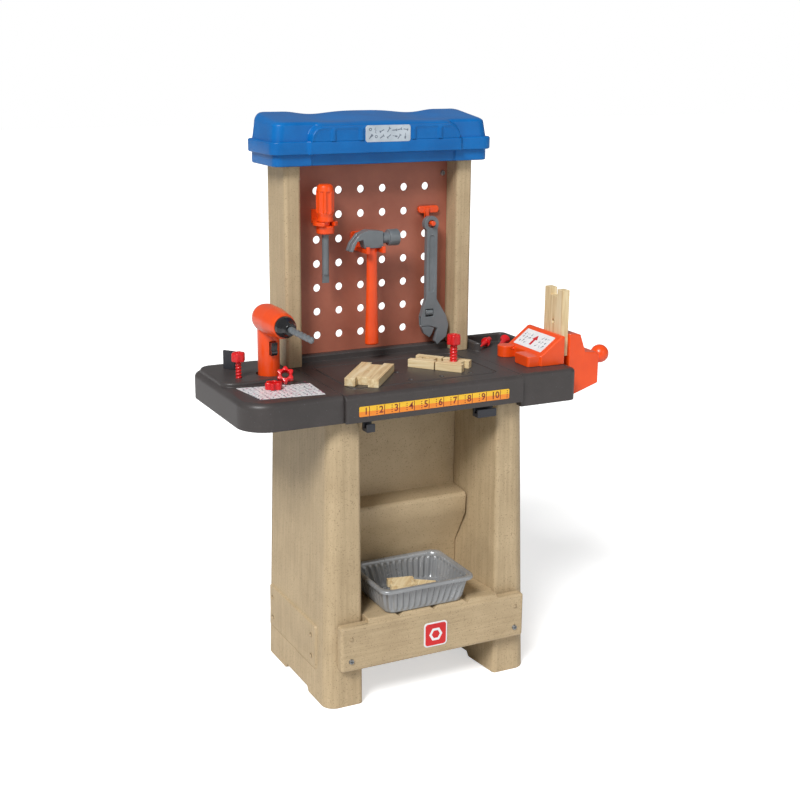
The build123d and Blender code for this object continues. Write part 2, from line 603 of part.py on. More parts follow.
with BuildPart() as roof:
    # the arched middle of the front
    with BuildSketch(facing(-ROOF_FRONT + 8)) as arch_outline:
        Polygon(
            (-ARCH_HALF, RIM_LOW + 2),
            (-ARCH_HALF, RIM_HIGH + 4),
            (-ARCH_HALF + 24, BENCH_HEIGHT - 15),
            (ARCH_HALF - 24, BENCH_HEIGHT - 15),
            (ARCH_HALF, RIM_HIGH + 4),
            (ARCH_HALF, RIM_LOW + 2),
            align=None,
        )
        fillet(arch_outline.vertices(), radius=8)
    extrude(amount=ARCH_PROUD + 8)
    fillet(roof.faces().sort_by(Axis.Y)[0].edges(), radius=4)
    with BuildSketch(level(ROOF_LOW)):
        with Locations((0, (ROOF_BACK - 4 - ROOF_FRONT) / 2)):
            RectangleRounded(2 * ROOF_HALF, ROOF_FRONT + ROOF_BACK - 4, 10)
    extrude(amount=RIM_LOW - ROOF_LOW + 2)
    with BuildSketch(level(RIM_LOW)):
        with Locations((0, (ROOF_BACK - ROOF_FRONT - RIM_PROUD) / 2)):
            RectangleRounded(
                2 * (ROOF_HALF + RIM_PROUD), ROOF_FRONT + RIM_PROUD + ROOF_BACK, 12
            )
    extrude(amount=RIM_HIGH - RIM_LOW)
    rim_edges = roof.faces().filter_by(Axis.Z).sort_by(Axis.Z)[-1].edges()
    fillet(rim_edges, radius=5)
    # the cap above the rim slopes up towards the back
    with BuildSketch(across(-ROOF_HALF - 2)):
        with BuildLine():
            Polyline(
                (-ROOF_FRONT, RIM_HIGH - 8),
                (-ROOF_FRONT + 6, BENCH_HEIGHT - 12),
                (ROOF_BACK - 16, BENCH_HEIGHT),
                (ROOF_BACK - 5, BENCH_HEIGHT - 4),
                (ROOF_BACK - 3, RIM_HIGH - 8),
                close=True,
            )
        make_face()
    extrude(amount=2 * (ROOF_HALF + 2))
    front_cap = roof.edges().filter_by(Axis.X).filter_by(
        lambda e: abs(e.center().Z - (BENCH_HEIGHT - 12)) < 0.1
    )
    fillet(front_cap, radius=12)
    # four upright ribs on the arched middle
    rib_places = [-ARCH_HALF + 40, -ARCH_HALF + 88, ARCH_HALF - 88, ARCH_HALF - 40]
    with BuildSketch(facing(-ROOF_FRONT - ARCH_PROUD + 1)):
        with Locations(*[(x, (RIM_LOW + BENCH_HEIGHT) / 2 - 4) for x in rib_places]):
            SlotOverall(36, 7, rotation=90)
    extrude(amount=3)
    # hollow from below
    with BuildSketch(level(ROOF_LOW)):
        with Locations((0, (ROOF_BACK - 4 - ROOF_FRONT) / 2)):
            RectangleRounded(
                2 * (ROOF_HALF - WALL), ROOF_FRONT + ROOF_BACK - 4 - 2 * WALL - 3, 7
            )
    extrude(amount=ROOF_INNER_TOP - ROOF_LOW - 8, mode=Mode.SUBTRACT)
    with BuildSketch(level(ROOF_INNER_TOP - 9)):
        with Locations((0, (POST_BACK - POST_FRONT) / 2)):
            RectangleRounded(2 * POST_OUTER + 4, POST_BACK + POST_FRONT + 4, 7)
    extrude(amount=9, mode=Mode.SUBTRACT)
save(roof, "roof_canopy")

PLATE_HALF = 39.5
PLATE_LOW = RIM_HIGH - 3.0
PLATE_HIGH = PLATE_LOW + 26.0
with BuildPart() as roof_plate:
    with BuildSketch(facing(-ROOF_FRONT - ARCH_PROUD)):
        with Locations((0, (PLATE_LOW + PLATE_HIGH) / 2)):
            RectangleRounded(2 * PLATE_HALF, PLATE_HIGH - PLATE_LOW, 4)
    extrude(amount=1.2)
save(roof_plate, "roof_plate")

# ============================================================================================
# PEG HOOKS AND HAND TOOLS
# ============================================================================================
PEG_R = PEG_HOLE_R - 0.05
PEG_LENGTH = BOARD_THICK + 5
HOOK_BACK = 4.0
DRIVER_X = peg_x(0)
DRIVER_Y = -35.0
DRIVER_FORK_TOP = peg_z(1) - 5.2
DRIVER_FORK_LOW = DRIVER_FORK_TOP - 6.0
DRIVER_NECK_R = 8.0
FERRULE_TOP = DRIVER_FORK_LOW - SLIP
FERRULE_LONG = 13.0
FERRULE_R = 14.5
DRIVER_TOP = DRIVER_FORK_TOP + 59.0
DRIVER_TIP = DRIVER_FORK_LOW - 93.0

with BuildPart() as driver_fork:
    with BuildSketch(facing(0)):
        with Locations((DRIVER_X, peg_z(1))):
            Circle(10)
            Rectangle(20, 2 * (peg_z(1) - DRIVER_FORK_LOW), align=(Align.CENTER, Align.CENTER))
    extrude(amount=HOOK_BACK)
    with BuildSketch(facing(0)):
        with Locations((DRIVER_X, peg_z(1))):
            Circle(PEG_R)
    extrude(amount=-PEG_LENGTH)
    with BuildSketch(level(DRIVER_FORK_LOW)):
        with Locations((DRIVER_X, DRIVER_Y)):
            Circle(20)
        with Locations((DRIVER_X, (DRIVER_Y - HOOK_BACK) / 2)):
            Rectangle(20, -DRIVER_Y - HOOK_BACK + 2)
        with Locations((DRIVER_X, DRIVER_Y)):
            Circle(DRIVER_NECK_R + SLIP, mode=Mode.SUBTRACT)
        with Locations((DRIVER_X, DRIVER_Y - 15)):
            Rectangle(2 * (DRIVER_NECK_R + SLIP), 30, mode=Mode.SUBTRACT)
    extrude(amount=DRIVER_FORK_TOP - DRIVER_FORK_LOW)
save(driver_fork, "screwdriver_fork")


def flutes(x, y, z, length, radius, count, flute_r):
    """Upright grip flutes round a handle, as cylinders to take away (private solids)."""
    cutters = []
    for step in range(count):
        turn = 2 * pi * step / count
        spot = place(x + radius * cos(turn), y + radius * sin(turn), z + length / 2)
        cutters.append(Pos(*spot) * Cylinder(flute_r, length))
    return cutters


driver_cutters = flutes(DRIVER_X, DRIVER_Y, DRIVER_FORK_TOP + 14, 34, 16.5, 8, 4.5)
with BuildPart() as driver_handle:
    with BuildSketch(Plane(origin=place(DRIVER_X, DRIVER_Y, 0), x_dir=(1, 0, 0), z_dir=(0, -1, 0))):
        with BuildLine():
            Polyline(
                (0, FERRULE_TOP),
                (DRIVER_NECK_R, FERRULE_TOP),
                (DRIVER_NECK_R, DRIVER_FORK_TOP + SLIP),
                (13.5, DRIVER_FORK_TOP + SLIP),
                (12, DRIVER_FORK_TOP + 8),
                (14.5, DRIVER_FORK_TOP + 16),
                (14.5, DRIVER_TOP - 12),
                (12.5, DRIVER_TOP - 3),
                (9, DRIVER_TOP),
                (0, DRIVER_TOP),
                close=True,
            )
        make_face()
    revolve(axis=Axis(place(DRIVER_X, DRIVER_Y, 0), (0, 0, 1)))
    for cutter in driver_cutters:
        add(cutter, mode=Mode.SUBTRACT)
save(driver_handle, "screwdriver_handle")

with BuildPart() as driver_ferrule:
    with BuildSketch(level(FERRULE_TOP - FERRULE_LONG)):
        with Locations((DRIVER_X, DRIVER_Y)):
            Circle(FERRULE_R)
    extrude(amount=FERRULE_LONG)
    fillet(driver_ferrule.edges(), radius=2)
save(driver_ferrule, "screwdriver_ferrule")

with BuildPart() as driver_blade:
    with BuildSketch(level(DRIVER_TIP + 14)):
        with Locations((DRIVER_X, DRIVER_Y)):
            Circle(5.5)
    extrude(amount=FERRULE_TOP - FERRULE_LONG - DRIVER_TIP - 14)
    with BuildSketch(level(DRIVER_TIP + 14)):
        with Locations((DRIVER_X, DRIVER_Y)):
            Rectangle(10, 5)
    with BuildSketch(level(DRIVER_TIP)):
        with Locations((DRIVER_X, DRIVER_Y)):
            Rectangle(12, 1.5)
    loft()
save(driver_blade, "screwdriver_blade")

# hammer: the head rests on two prongs and the handle hangs between them
HAMMER_X = peg_x(2)
HAMMER_Y = -42.0
HEAD_LOW = peg_z(2) - 11.7
HEAD_TOP = HEAD_LOW + 30.0
HAMMER_LOW = HEAD_LOW - 160.0
HANDLE_HALF_X = 11.0
HANDLE_HALF_Y = 8.5
PRONG = 6.0
PRONG_MID = HANDLE_HALF_X + PRONG / 2
CHEEK_HALF = PRONG_MID + 2

with BuildPart() as hammer_hook:
    with BuildSketch(facing(0)):
        with Locations((HAMMER_X, peg_z(2) - 4)):
            RectangleRounded(2 * (PRONG_MID + PRONG), 30, 5)
    extrude(amount=HOOK_BACK)
    with BuildSketch(facing(0)):
        with Locations((HAMMER_X, peg_z(2))):
            Circle(PEG_R)
    extrude(amount=-PEG_LENGTH)
    prong_spots = [(HAMMER_X + s * PRONG_MID, HEAD_LOW - 4) for s in (-1, 1)]
    with BuildSketch(facing(-HOOK_BACK)):
        with Locations(*prong_spots):
            Rectangle(PRONG, 7)
    extrude(amount=-HAMMER_Y + 12)
    with BuildSketch(facing(HAMMER_Y - 13)):
        with Locations(*[(x, z + 2) for x, z in prong_spots]):
            Rectangle(PRONG, 11)
    extrude(amount=4)
save(hammer_hook, "hammer_hook")

with BuildPart() as hammer_handle:
    with BuildSketch(level(HAMMER_LOW)):
        with Locations((HAMMER_X, HAMMER_Y)):
            Ellipse(HANDLE_HALF_X + 1, HANDLE_HALF_Y + 1)
    with BuildSketch(level(HAMMER_LOW + 70)):
        with Locations((HAMMER_X, HAMMER_Y)):
            Ellipse(HANDLE_HALF_X - 1, HANDLE_HALF_Y - 1)
    with BuildSketch(level(HEAD_LOW)):
        with Locations((HAMMER_X, HAMMER_Y)):
            Ellipse(HANDLE_HALF_X - 2, HANDLE_HALF_Y - 2)
    loft()
    fillet(hammer_handle.faces().sort_by(Axis.Z)[0].edges(), radius=3)
    with BuildSketch(level(HEAD_LOW)):
        with Locations((HAMMER_X, HAMMER_Y)):
            Rectangle(10, 8)
    extrude(amount=HEAD_TOP - HEAD_LOW - 4)
save(hammer_handle, "hammer_handle")

HAMMER_MID = (HEAD_LOW + HEAD_TOP) / 2
with BuildPart() as hammer_head:
    with BuildSketch(facing(HAMMER_Y + 10)):
        with BuildLine():
            Polyline(
                (HAMMER_X + CHEEK_HALF, HEAD_LOW + SOFT_GAP),
                (HAMMER_X + CHEEK_HALF, HEAD_TOP - 3),
                (HAMMER_X - 10, HEAD_TOP),
                (HAMMER_X - 26, HEAD_TOP - 6),
                (HAMMER_X - 38, HEAD_TOP - 20),
                (HAMMER_X - 43, HEAD_LOW - 3),
                (HAMMER_X - 38, HEAD_LOW - 4),
                (HAMMER_X - 30, HEAD_TOP - 18),
                (HAMMER_X - 20, HEAD_TOP - 15),
                (HAMMER_X - CHEEK_HALF, HEAD_LOW + SOFT_GAP),
                close=True,
            )
        make_face()
    extrude(amount=20)
    with BuildSketch(across(HAMMER_X + CHEEK_HALF - 1)):
        with Locations((HAMMER_Y, HAMMER_MID)):
            Circle(9)
    extrude(amount=29 - CHEEK_HALF)
    with BuildSketch(across(HAMMER_X + 28)):
        with Locations((HAMMER_Y, HAMMER_MID)):
            Circle(13.5)
    extrude(amount=18)
    with BuildSketch(facing(HAMMER_Y + 2)):
        Polygon(
            (HAMMER_X - 45, HEAD_LOW - 8),
            (HAMMER_X - 22, HEAD_TOP - 20),
            (HAMMER_X - 22, HEAD_TOP + 1),
            (HAMMER_X - 45, HEAD_TOP + 1),
            align=None,
        )
    extrude(amount=4, mode=Mode.SUBTRACT)
    with BuildSketch(level(HEAD_LOW - 1)):
        with Locations((HAMMER_X, HAMMER_Y)):
            Rectangle(10, 8)
    extrude(amount=HEAD_TOP - HEAD_LOW - 3, mode=Mode.SUBTRACT)
save(hammer_head, "hammer_head")

# adjustable wrench
WRENCH_X = peg_x(5)
WRENCH_BACK = -15.0
WRENCH_THICK = 10.0
RING_Z = peg_z(1) - 21.2
RING_R = 13.5
RING_HOLE_R = 6.5
SHANK_HALF = 10.0
WRENCH_NECK_Z = RING_Z - 130.0
JAW_CORE_Z = RING_Z - 159.0
JAW_SEAT_Z = JAW_CORE_Z - 13.5
JAW_TONGUE = 4.0
KNURL_R = 5.6
WINDOW_HALF = 6.5
KNURL_Z = JAW_CORE_Z + 9
PIN_R = 1.2
PIN_HALF = 12.0
KNURL_SPOT = (WRENCH_BACK - WRENCH_THICK / 2, KNURL_Z)

with BuildPart() as wrench_hook:
    with BuildSketch(facing(0)):
        with Locations((WRENCH_X + 4, peg_z(1) + 1)):
            RectangleRounded(38, 12, 5)
    extrude(amount=HOOK_BACK + 2)
    with BuildSketch(facing(0)):
        with Locations((WRENCH_X, peg_z(1))):
            Circle(PEG_R)
    extrude(amount=-PEG_LENGTH)
    with BuildSketch(facing(-HOOK_BACK)):
        with Locations((WRENCH_X, (peg_z(1) + RING_Z) / 2)):
            Rectangle(9, peg_z(1) - RING_Z + 8)
    extrude(amount=5)
    with BuildSketch(facing(-HOOK_BACK)):
        with Locations((WRENCH_X, RING_Z + 1.5)):
            Circle(4.2)
    extrude(amount=28)
save(wrench_hook, "wrench_hook")

with BuildPart() as wrench_body:
    with BuildSketch(facing(WRENCH_BACK)):
        with Locations((WRENCH_X, RING_Z)):
            Circle(RING_R)
        with Locations((WRENCH_X + 1.5, (RING_Z + WRENCH_NECK_Z) / 2 - 3)):
            Rectangle(2 * SHANK_HALF, RING_Z - WRENCH_NECK_Z - 6)
        Polygon(
            (WRENCH_X - 9, WRENCH_NECK_Z + 2),
            (WRENCH_X + 12, WRENCH_NECK_Z + 2),
            (WRENCH_X + 30, JAW_CORE_Z + 2),
            (WRENCH_X + 35, JAW_CORE_Z - 14),
            (WRENCH_X + 31, JAW_CORE_Z - 34),
            (WRENCH_X + 14, JAW_CORE_Z - 47),
            (WRENCH_X + 9, JAW_CORE_Z - 41),
            (WRENCH_X + 14, JAW_CORE_Z - 19),
            (WRENCH_X - 2, JAW_SEAT_Z),
            (WRENCH_X - 17, JAW_SEAT_Z),
            (WRENCH_X - 18, JAW_CORE_Z + 4),
            align=None,
        )
        with Locations((WRENCH_X, RING_Z)):
            Circle(RING_HOLE_R, mode=Mode.SUBTRACT)
        with Locations((WRENCH_X - 2, KNURL_Z)):
            Rectangle(15, 2 * WINDOW_HALF, mode=Mode.SUBTRACT)
    extrude(amount=WRENCH_THICK)
    # slot that guides the moving jaw's tongue, open to the left and into the window
    with BuildSketch(facing(WRENCH_BACK - (WRENCH_THICK - JAW_TONGUE) / 2 + SLIP)):
        with Locations((WRENCH_X - 7.5, (JAW_SEAT_Z + KNURL_Z - WINDOW_HALF) / 2 - 2)):
            Rectangle(23, KNURL_Z - WINDOW_HALF - JAW_SEAT_Z + 4.2)
    extrude(amount=JAW_TONGUE + 2 * SLIP, mode=Mode.SUBTRACT)
    # long recess along the shank
    with BuildSketch(facing(WRENCH_BACK - WRENCH_THICK)):
        with Locations((WRENCH_X + 1.5, (RING_Z + WRENCH_NECK_Z) / 2 - 2)):
            SlotOverall(RING_Z - WRENCH_NECK_Z - 34, 9, rotation=90)
    extrude(amount=-1.5, mode=Mode.SUBTRACT)
    with BuildSketch(across(WRENCH_X - 2 - PIN_HALF)):
        with Locations(KNURL_SPOT):
            Circle(PIN_R + RUN_FIT)
    extrude(amount=2 * PIN_HALF, mode=Mode.SUBTRACT)
save(wrench_body, "wrench_body")

with BuildPart() as wrench_knurl:
    with BuildSketch(across(WRENCH_X - 8.5)):
        with Locations(KNURL_SPOT):
            Circle(KNURL_R)
            Circle(PIN_R + RUN_FIT, mode=Mode.SUBTRACT)
    extrude(amount=13)
save(wrench_knurl, "wrench_knurl")

with BuildPart() as wrench_pin:
    with BuildSketch(across(WRENCH_X - 2 - PIN_HALF)):
        with Locations(KNURL_SPOT):
            Circle(PIN_R)
    extrude(amount=2 * PIN_HALF)
save(wrench_pin, "wrench_pin")

with BuildPart() as wrench_jaw:
    with BuildSketch(facing(WRENCH_BACK - 1)):
        Polygon(
            (WRENCH_X - 17, JAW_SEAT_Z - SLIP),
            (WRENCH_X - 2, JAW_SEAT_Z - SLIP),
            (WRENCH_X + 8, JAW_CORE_Z - 18),
            (WRENCH_X + 4, JAW_CORE_Z - 27),
            (WRENCH_X - 1, JAW_CORE_Z - 34),
            (WRENCH_X - 12, JAW_CORE_Z - 26),
            align=None,
        )
    extrude(amount=WRENCH_THICK - 2)
    with BuildSketch(facing(WRENCH_BACK - (WRENCH_THICK - JAW_TONGUE) / 2)):
        with Locations((WRENCH_X - 7, (JAW_SEAT_Z + KNURL_Z - WINDOW_HALF) / 2 - 1)):
            Rectangle(16, KNURL_Z - WINDOW_HALF - JAW_SEAT_Z + 0.8)
    extrude(amount=JAW_TONGUE)
save(wrench_jaw, "wrench_jaw")

# ============================================================================================
# TOY DRILL
# ============================================================================================
DRILL_Z = COUNTER_TOP + 94.0
DRILL_REAR = -56.0
DRILL_NOSE = -146.0
DRILL_BODY_R = 23.0
DRILL_SHELL = 2.6
HANDLE_X = 17.0
HANDLE_Y = 19.0
DRILL_BASE = PLATFORM_TOP - 4
CHUCK_R = 17.0
SPIGOT_R = 6.0
TRIGGER_LOW = DRILL_Z - 54.0
TRIGGER_HIGH = TRIGGER_LOW + 21.0
TRIGGER_WIDTH = 10.0

drill_axis = Axis(place(DRILL_X, 0, DRILL_Z), (0, 1, 0))


def body_profile(skin):
    """Half outline of the drill's barrel, taken in by the skin's thickness."""
    return [
        (DRILL_REAR - skin, 0),
        (DRILL_REAR - skin, DRILL_BODY_R - 8 - skin),
        (DRILL_REAR - 5 - skin / 2, DRILL_BODY_R - 2 - skin),
        (DRILL_REAR - 16, DRILL_BODY_R - skin),
        (DRILL_NOSE + 40, DRILL_BODY_R - skin),
        (DRILL_NOSE + 8, DRILL_BODY_R - 3 - skin),
        (DRILL_NOSE + skin, CHUCK_R + 1 - skin),
        (DRILL_NOSE + skin, 0),
    ]


def make_drill_shell(name, side):
    barrel_plane = Plane(origin=place(DRILL_X, 0, DRILL_Z), x_dir=(0, 1, 0), z_dir=(1, 0, 0))
    with BuildPart() as shell:
        with BuildSketch(barrel_plane):
            Polygon(*body_profile(0), align=None)
        revolve(axis=drill_axis)
        with BuildSketch(level(DRILL_BASE)):
            with Locations((DRILL_X, DRILL_HANDLE_Y)):
                Ellipse(HANDLE_X, HANDLE_Y)
        extrude(amount=DRILL_Z - DRILL_BASE)
        with BuildSketch(barrel_plane):
            Polygon(*body_profile(DRILL_SHELL), align=None)
        revolve(axis=drill_axis, mode=Mode.SUBTRACT)
        with BuildSketch(level(DRILL_BASE + DRILL_SHELL)):
            with Locations((DRILL_X, DRILL_HANDLE_Y)):
                Ellipse(HANDLE_X - DRILL_SHELL, HANDLE_Y - DRILL_SHELL)
        extrude(amount=DRILL_Z - DRILL_BASE - DRILL_SHELL, mode=Mode.SUBTRACT)
        # bore for the chuck's spigot, and the slot for the trigger
        with BuildSketch(facing(DRILL_NOSE + 10)):
            with Locations((DRILL_X, DRILL_Z)):
                Circle(SPIGOT_R + RUN_FIT)
        extrude(amount=20, mode=Mode.SUBTRACT)
        with BuildSketch(facing(DRILL_HANDLE_Y)):
            with Locations((DRILL_X, (TRIGGER_LOW + TRIGGER_HIGH) / 2)):
                Rectangle(TRIGGER_WIDTH + 2 * SLIP, TRIGGER_HIGH - TRIGGER_LOW + 2 * SLIP)
        extrude(amount=40, mode=Mode.SUBTRACT)
        split(bisect_by=Plane(origin=place(DRILL_X + side * 0.02, 0, 0), z_dir=(side, 0, 0)), keep=Keep.TOP)
    save(shell, name)


make_drill_shell("drill_left_shell", -1)
make_drill_shell("drill_right_shell", 1)

with BuildPart() as chuck:
    with BuildSketch(Plane(origin=place(DRILL_X, 0, DRILL_Z), x_dir=(0, 1, 0), z_dir=(1, 0, 0))):
        with BuildLine():
            Polyline(
                (DRILL_NOSE + 9, 0),
                (DRILL_NOSE + 9, SPIGOT_R + 2.4),
                (DRILL_NOSE + DRILL_SHELL + SLIP, SPIGOT_R + 2.4),
                (DRILL_NOSE + DRILL_SHELL + SLIP, SPIGOT_R),
                (DRILL_NOSE - SLIP, SPIGOT_R),
                (DRILL_NOSE - SLIP, CHUCK_R),
                (DRILL_NOSE - 8, CHUCK_R - 1),
                (DRILL_NOSE - 17, 11.5),
                (DRILL_NOSE - 25, 9),
                (DRILL_NOSE - 25, 0),
                close=True,
            )
        make_face()
    revolve(axis=drill_axis)
save(chuck, "drill_chuck")

BIT_R = 5.0
with BuildPart() as bit:
    with BuildSketch(Plane(origin=place(DRILL_X, 0, DRILL_Z), x_dir=(0, 1, 0), z_dir=(1, 0, 0))):
        with BuildLine():
            Polyline(
                (DRILL_NOSE - 25, 0),
                (DRILL_NOSE - 25, BIT_R),
                (-BIT_REACH + 7, BIT_R),
                (-BIT_REACH, 0),
                close=True,
            )
        make_face()
    revolve(axis=drill_axis)
save(bit, "drill_bit")

with BuildPart() as trigger:
    with BuildSketch(across(DRILL_X - TRIGGER_WIDTH / 2)):
        front = DRILL_HANDLE_Y - HANDLE_Y
        with BuildLine():
            Polyline(
                (front + 12, TRIGGER_LOW),
                (front - 5, TRIGGER_LOW),
                (front - 8, TRIGGER_LOW + 4),
                (front - 6, (TRIGGER_LOW + TRIGGER_HIGH) / 2),
                (front - 8, TRIGGER_HIGH),
                (front + 12, TRIGGER_HIGH),
                close=True,
            )
        make_face()
    extrude(amount=TRIGGER_WIDTH)
    # ears inside the handle keep the trigger from falling out
    with BuildSketch(level(TRIGGER_LOW + 3)):
        with Locations((DRILL_X, DRILL_HANDLE_Y - HANDLE_Y + 9.5)):
            Rectangle(TRIGGER_WIDTH + 6, 5)
    extrude(amount=TRIGGER_HIGH - TRIGGER_LOW - 6)
save(trigger, "drill_trigger")

SPRING_R = 3.0
SPRING_WIRE = 0.5
spring_start = DRILL_HANDLE_Y - HANDLE_Y + 12 + SPRING_WIRE
spring_end = DRILL_HANDLE_Y + HANDLE_Y - DRILL_SHELL - SPRING_WIRE - 0.2
with BuildPart() as spring:
    with BuildLine() as coil:
        Helix(
            pitch=(spring_end - spring_start) / 5,
            height=spring_end - spring_start,
            radius=SPRING_R,
            center=place(DRILL_X, spring_start, (TRIGGER_LOW + TRIGGER_HIGH) / 2),
            direction=(0, 1, 0),
        )
    with BuildSketch(Plane(coil.line @ 0, z_dir=coil.line % 0)):
        Circle(SPRING_WIRE)
    sweep(path=coil.line)
save(spring, "trigger_spring")

# ============================================================================================
# VISE ON THE RIGHT WING
# ============================================================================================
VISE_FRONT = -198.0
VISE_REAR = -92.0
CLAMP_X = 257.5
WEDGE_TOP = COUNTER_TOP + 47.0
WEDGE_LOW_X = 215.0
WEDGE_LOW_Z = COUNTER_TOP + 17.0
WEDGE_TOP_X = 251.0
FLANGE_TOP = COUNTER_TOP + 17.0
WOOD_THICK = 13.0
GRIP = 0.4
SCREW_Y = -158.0
SCREW_Z = COUNTER_TOP + 0.5
TONGUE_HALF_Y = 12.0
TONGUE_LOW = COUNTER_TOP - 9.0
TONGUE_HIGH = COUNTER_TOP + 10.0
TONGUE_END = 318.0
JAW_X = CLAMP_X + WOOD_THICK + 2 * GRIP
JAW_END = 331.0
JAW_FRONT = -190.0
JAW_REAR = -126.0
JAW_WALL = 6.0
JAW_TOE = COUNTER_TOP - 41.0
KNOB_R = 15.5
VISE_SCREW_R = 4.5
BOSS_SPOT = (201.0, -104.0)

with BuildPart() as vise_base:
    with BuildSketch(facing(VISE_REAR)) as wedge_outline:
        Polygon(
            (WEDGE_LOW_X - 4, COUNTER_TOP),
            (WEDGE_LOW_X - 4, WEDGE_LOW_Z),
            (WEDGE_TOP_X, WEDGE_TOP),
            (CLAMP_X, WEDGE_TOP),
            (CLAMP_X, COUNTER_TOP),
            align=None,
        )
        fillet(wedge_outline.vertices().sort_by(Axis.Y)[-2:], radius=2.5)
    extrude(amount=VISE_REAR - VISE_FRONT)
    wedge_rims = vise_base.faces().sort_by(Axis.Y)
    fillet(wedge_rims[0].edges().filter_by(lambda e: e.center().Z > COUNTER_TOP + 1), radius=3)
    with BuildSketch(level(COUNTER_TOP)):
        with Locations((BOSS_SPOT)):
            Circle(14)
    extrude(amount=19)
    with BuildSketch(level(COUNTER_TOP)):
        with Locations(((BOSS_SPOT[0] + WEDGE_LOW_X) / 2 + 2, BOSS_SPOT[1] - 6)):
            Rectangle(WEDGE_LOW_X - BOSS_SPOT[0] + 4, 16)
    extrude(amount=14)
    with BuildSketch(level(COUNTER_TOP)):
        with Locations((WEDGE_LOW_X - 13, VISE_FRONT + 26)):
            RectangleRounded(26, 44, 5)
    extrude(amount=FLANGE_TOP - COUNTER_TOP)
    # the tongue that reaches over the wing's edge and guides the moving jaw
    with BuildSketch(across(CLAMP_X - 1)):
        with Locations((SCREW_Y, (COUNTER_TOP + TONGUE_HIGH) / 2 + 0.2)):
            Rectangle(2 * TONGUE_HALF_Y, TONGUE_HIGH - COUNTER_TOP - 0.4)
    extrude(amount=10)
    with BuildSketch(across(RIGHT_REACH + SLIP)):
        with Locations((SCREW_Y, (TONGUE_LOW + TONGUE_HIGH) / 2)):
            Rectangle(2 * TONGUE_HALF_Y, TONGUE_HIGH - TONGUE_LOW)
    extrude(amount=TONGUE_END - RIGHT_REACH - SLIP)
    with BuildSketch(across(TONGUE_END)):
        with Locations((SCREW_Y, SCREW_Z)):
            Circle(VISE_SCREW_R + RUN_FIT)
    extrude(amount=-(TONGUE_END - RIGHT_REACH - 4), mode=Mode.SUBTRACT)
save(vise_base, "vise_base")

slope_run = WEDGE_TOP_X - WEDGE_LOW_X + 4
slope_rise = WEDGE_TOP - WEDGE_LOW_Z
slope_length = (slope_run**2 + slope_rise**2) ** 0.5
slope_plane = Plane(
    origin=place(
        (WEDGE_TOP_X + WEDGE_LOW_X - 4) / 2, (VISE_FRONT + VISE_REAR) / 2, (WEDGE_TOP + WEDGE_LOW_Z) / 2
    ),
    x_dir=(0, 1, 0),
    z_dir=(-slope_rise, 0, slope_run),
)
with BuildPart() as vise_label:
    with BuildSketch(slope_plane):
        RectangleRounded(VISE_REAR - VISE_FRONT - 22, slope_length - 14, 2)
    extrude(amount=LABEL_THICK)
save(vise_label, "vise_label")

with BuildPart() as vise_jaw:
    with BuildSketch(facing(JAW_REAR)) as jaw_outline:
        Polygon(
            (JAW_X, WEDGE_TOP),
            (JAW_X + 22, WEDGE_TOP - 2),
            (JAW_X + 33, TONGUE_HIGH + 4),
            (JAW_END, TONGUE_HIGH + 1),
            (JAW_END, JAW_TOE),
            (JAW_X + 10, JAW_TOE - 16),
            (JAW_X + 10, TONGUE_LOW - 14),
            (JAW_X, TONGUE_LOW - 8),
            align=None,
        )
    extrude(amount=JAW_REAR - JAW_FRONT)
    side_faces = vise_jaw.faces().sort_by(Axis.Y)
    fillet(side_faces[0].edges(), radius=2)
    with BuildSketch(across(JAW_X - 1)):
        with Locations((SCREW_Y, (TONGUE_LOW + TONGUE_HIGH) / 2)):
            Rectangle(2 * (TONGUE_HALF_Y + SLIP), TONGUE_HIGH - TONGUE_LOW + 2 * SLIP)
    extrude(amount=JAW_END - JAW_X - JAW_WALL + 1, mode=Mode.SUBTRACT)
    with BuildSketch(level(TONGUE_LOW - 10)):
        with Locations(((JAW_X + 10 + JAW_END) / 2, (JAW_FRONT + JAW_REAR) / 2)):
            RectangleRounded(
                JAW_END - JAW_X - 10 - 2 * WALL, JAW_REAR - JAW_FRONT - 2 * WALL, 2
            )
    extrude(amount=-60, mode=Mode.SUBTRACT)
    with BuildSketch(across(JAW_END + 1)):
        with Locations((SCREW_Y, SCREW_Z)):
            Circle(VISE_SCREW_R + RUN_FIT)
    extrude(amount=-JAW_WALL - 4, mode=Mode.SUBTRACT)
save(vise_jaw, "vise_jaw")

KNOB_X = KNOB_REACH - KNOB_R
with BuildPart() as vise_knob:
    with BuildSketch(across(RIGHT_REACH + 14)):
        with Locations((SCREW_Y, SCREW_Z)):
            Circle(VISE_SCREW_R)
    extrude(amount=KNOB_X - RIGHT_REACH - 14)
    with BuildSketch(across(JAW_END + SOFT_GAP)):
        with Locations((SCREW_Y, SCREW_Z)):
            Circle(8)
    extrude(amount=KNOB_X - JAW_END - 2)
    with Locations(place(KNOB_X, SCREW_Y, SCREW_Z)):
        Sphere(KNOB_R)
save(vise_knob, "vise_knob")

# ============================================================================================
# WOOD PIECES, BOLTS AND NUTS
# ============================================================================================
WOOD_WIDTH = 54.0
WOOD_LENGTH = 110.0
NOTCH_WIDTH = 20.0
NOTCH_DEPTH = 12.0
WOOD_HOLE_R = 7.0
BLOCK_LENGTH = 46.0
BLOCK_WIDTH = 44.0


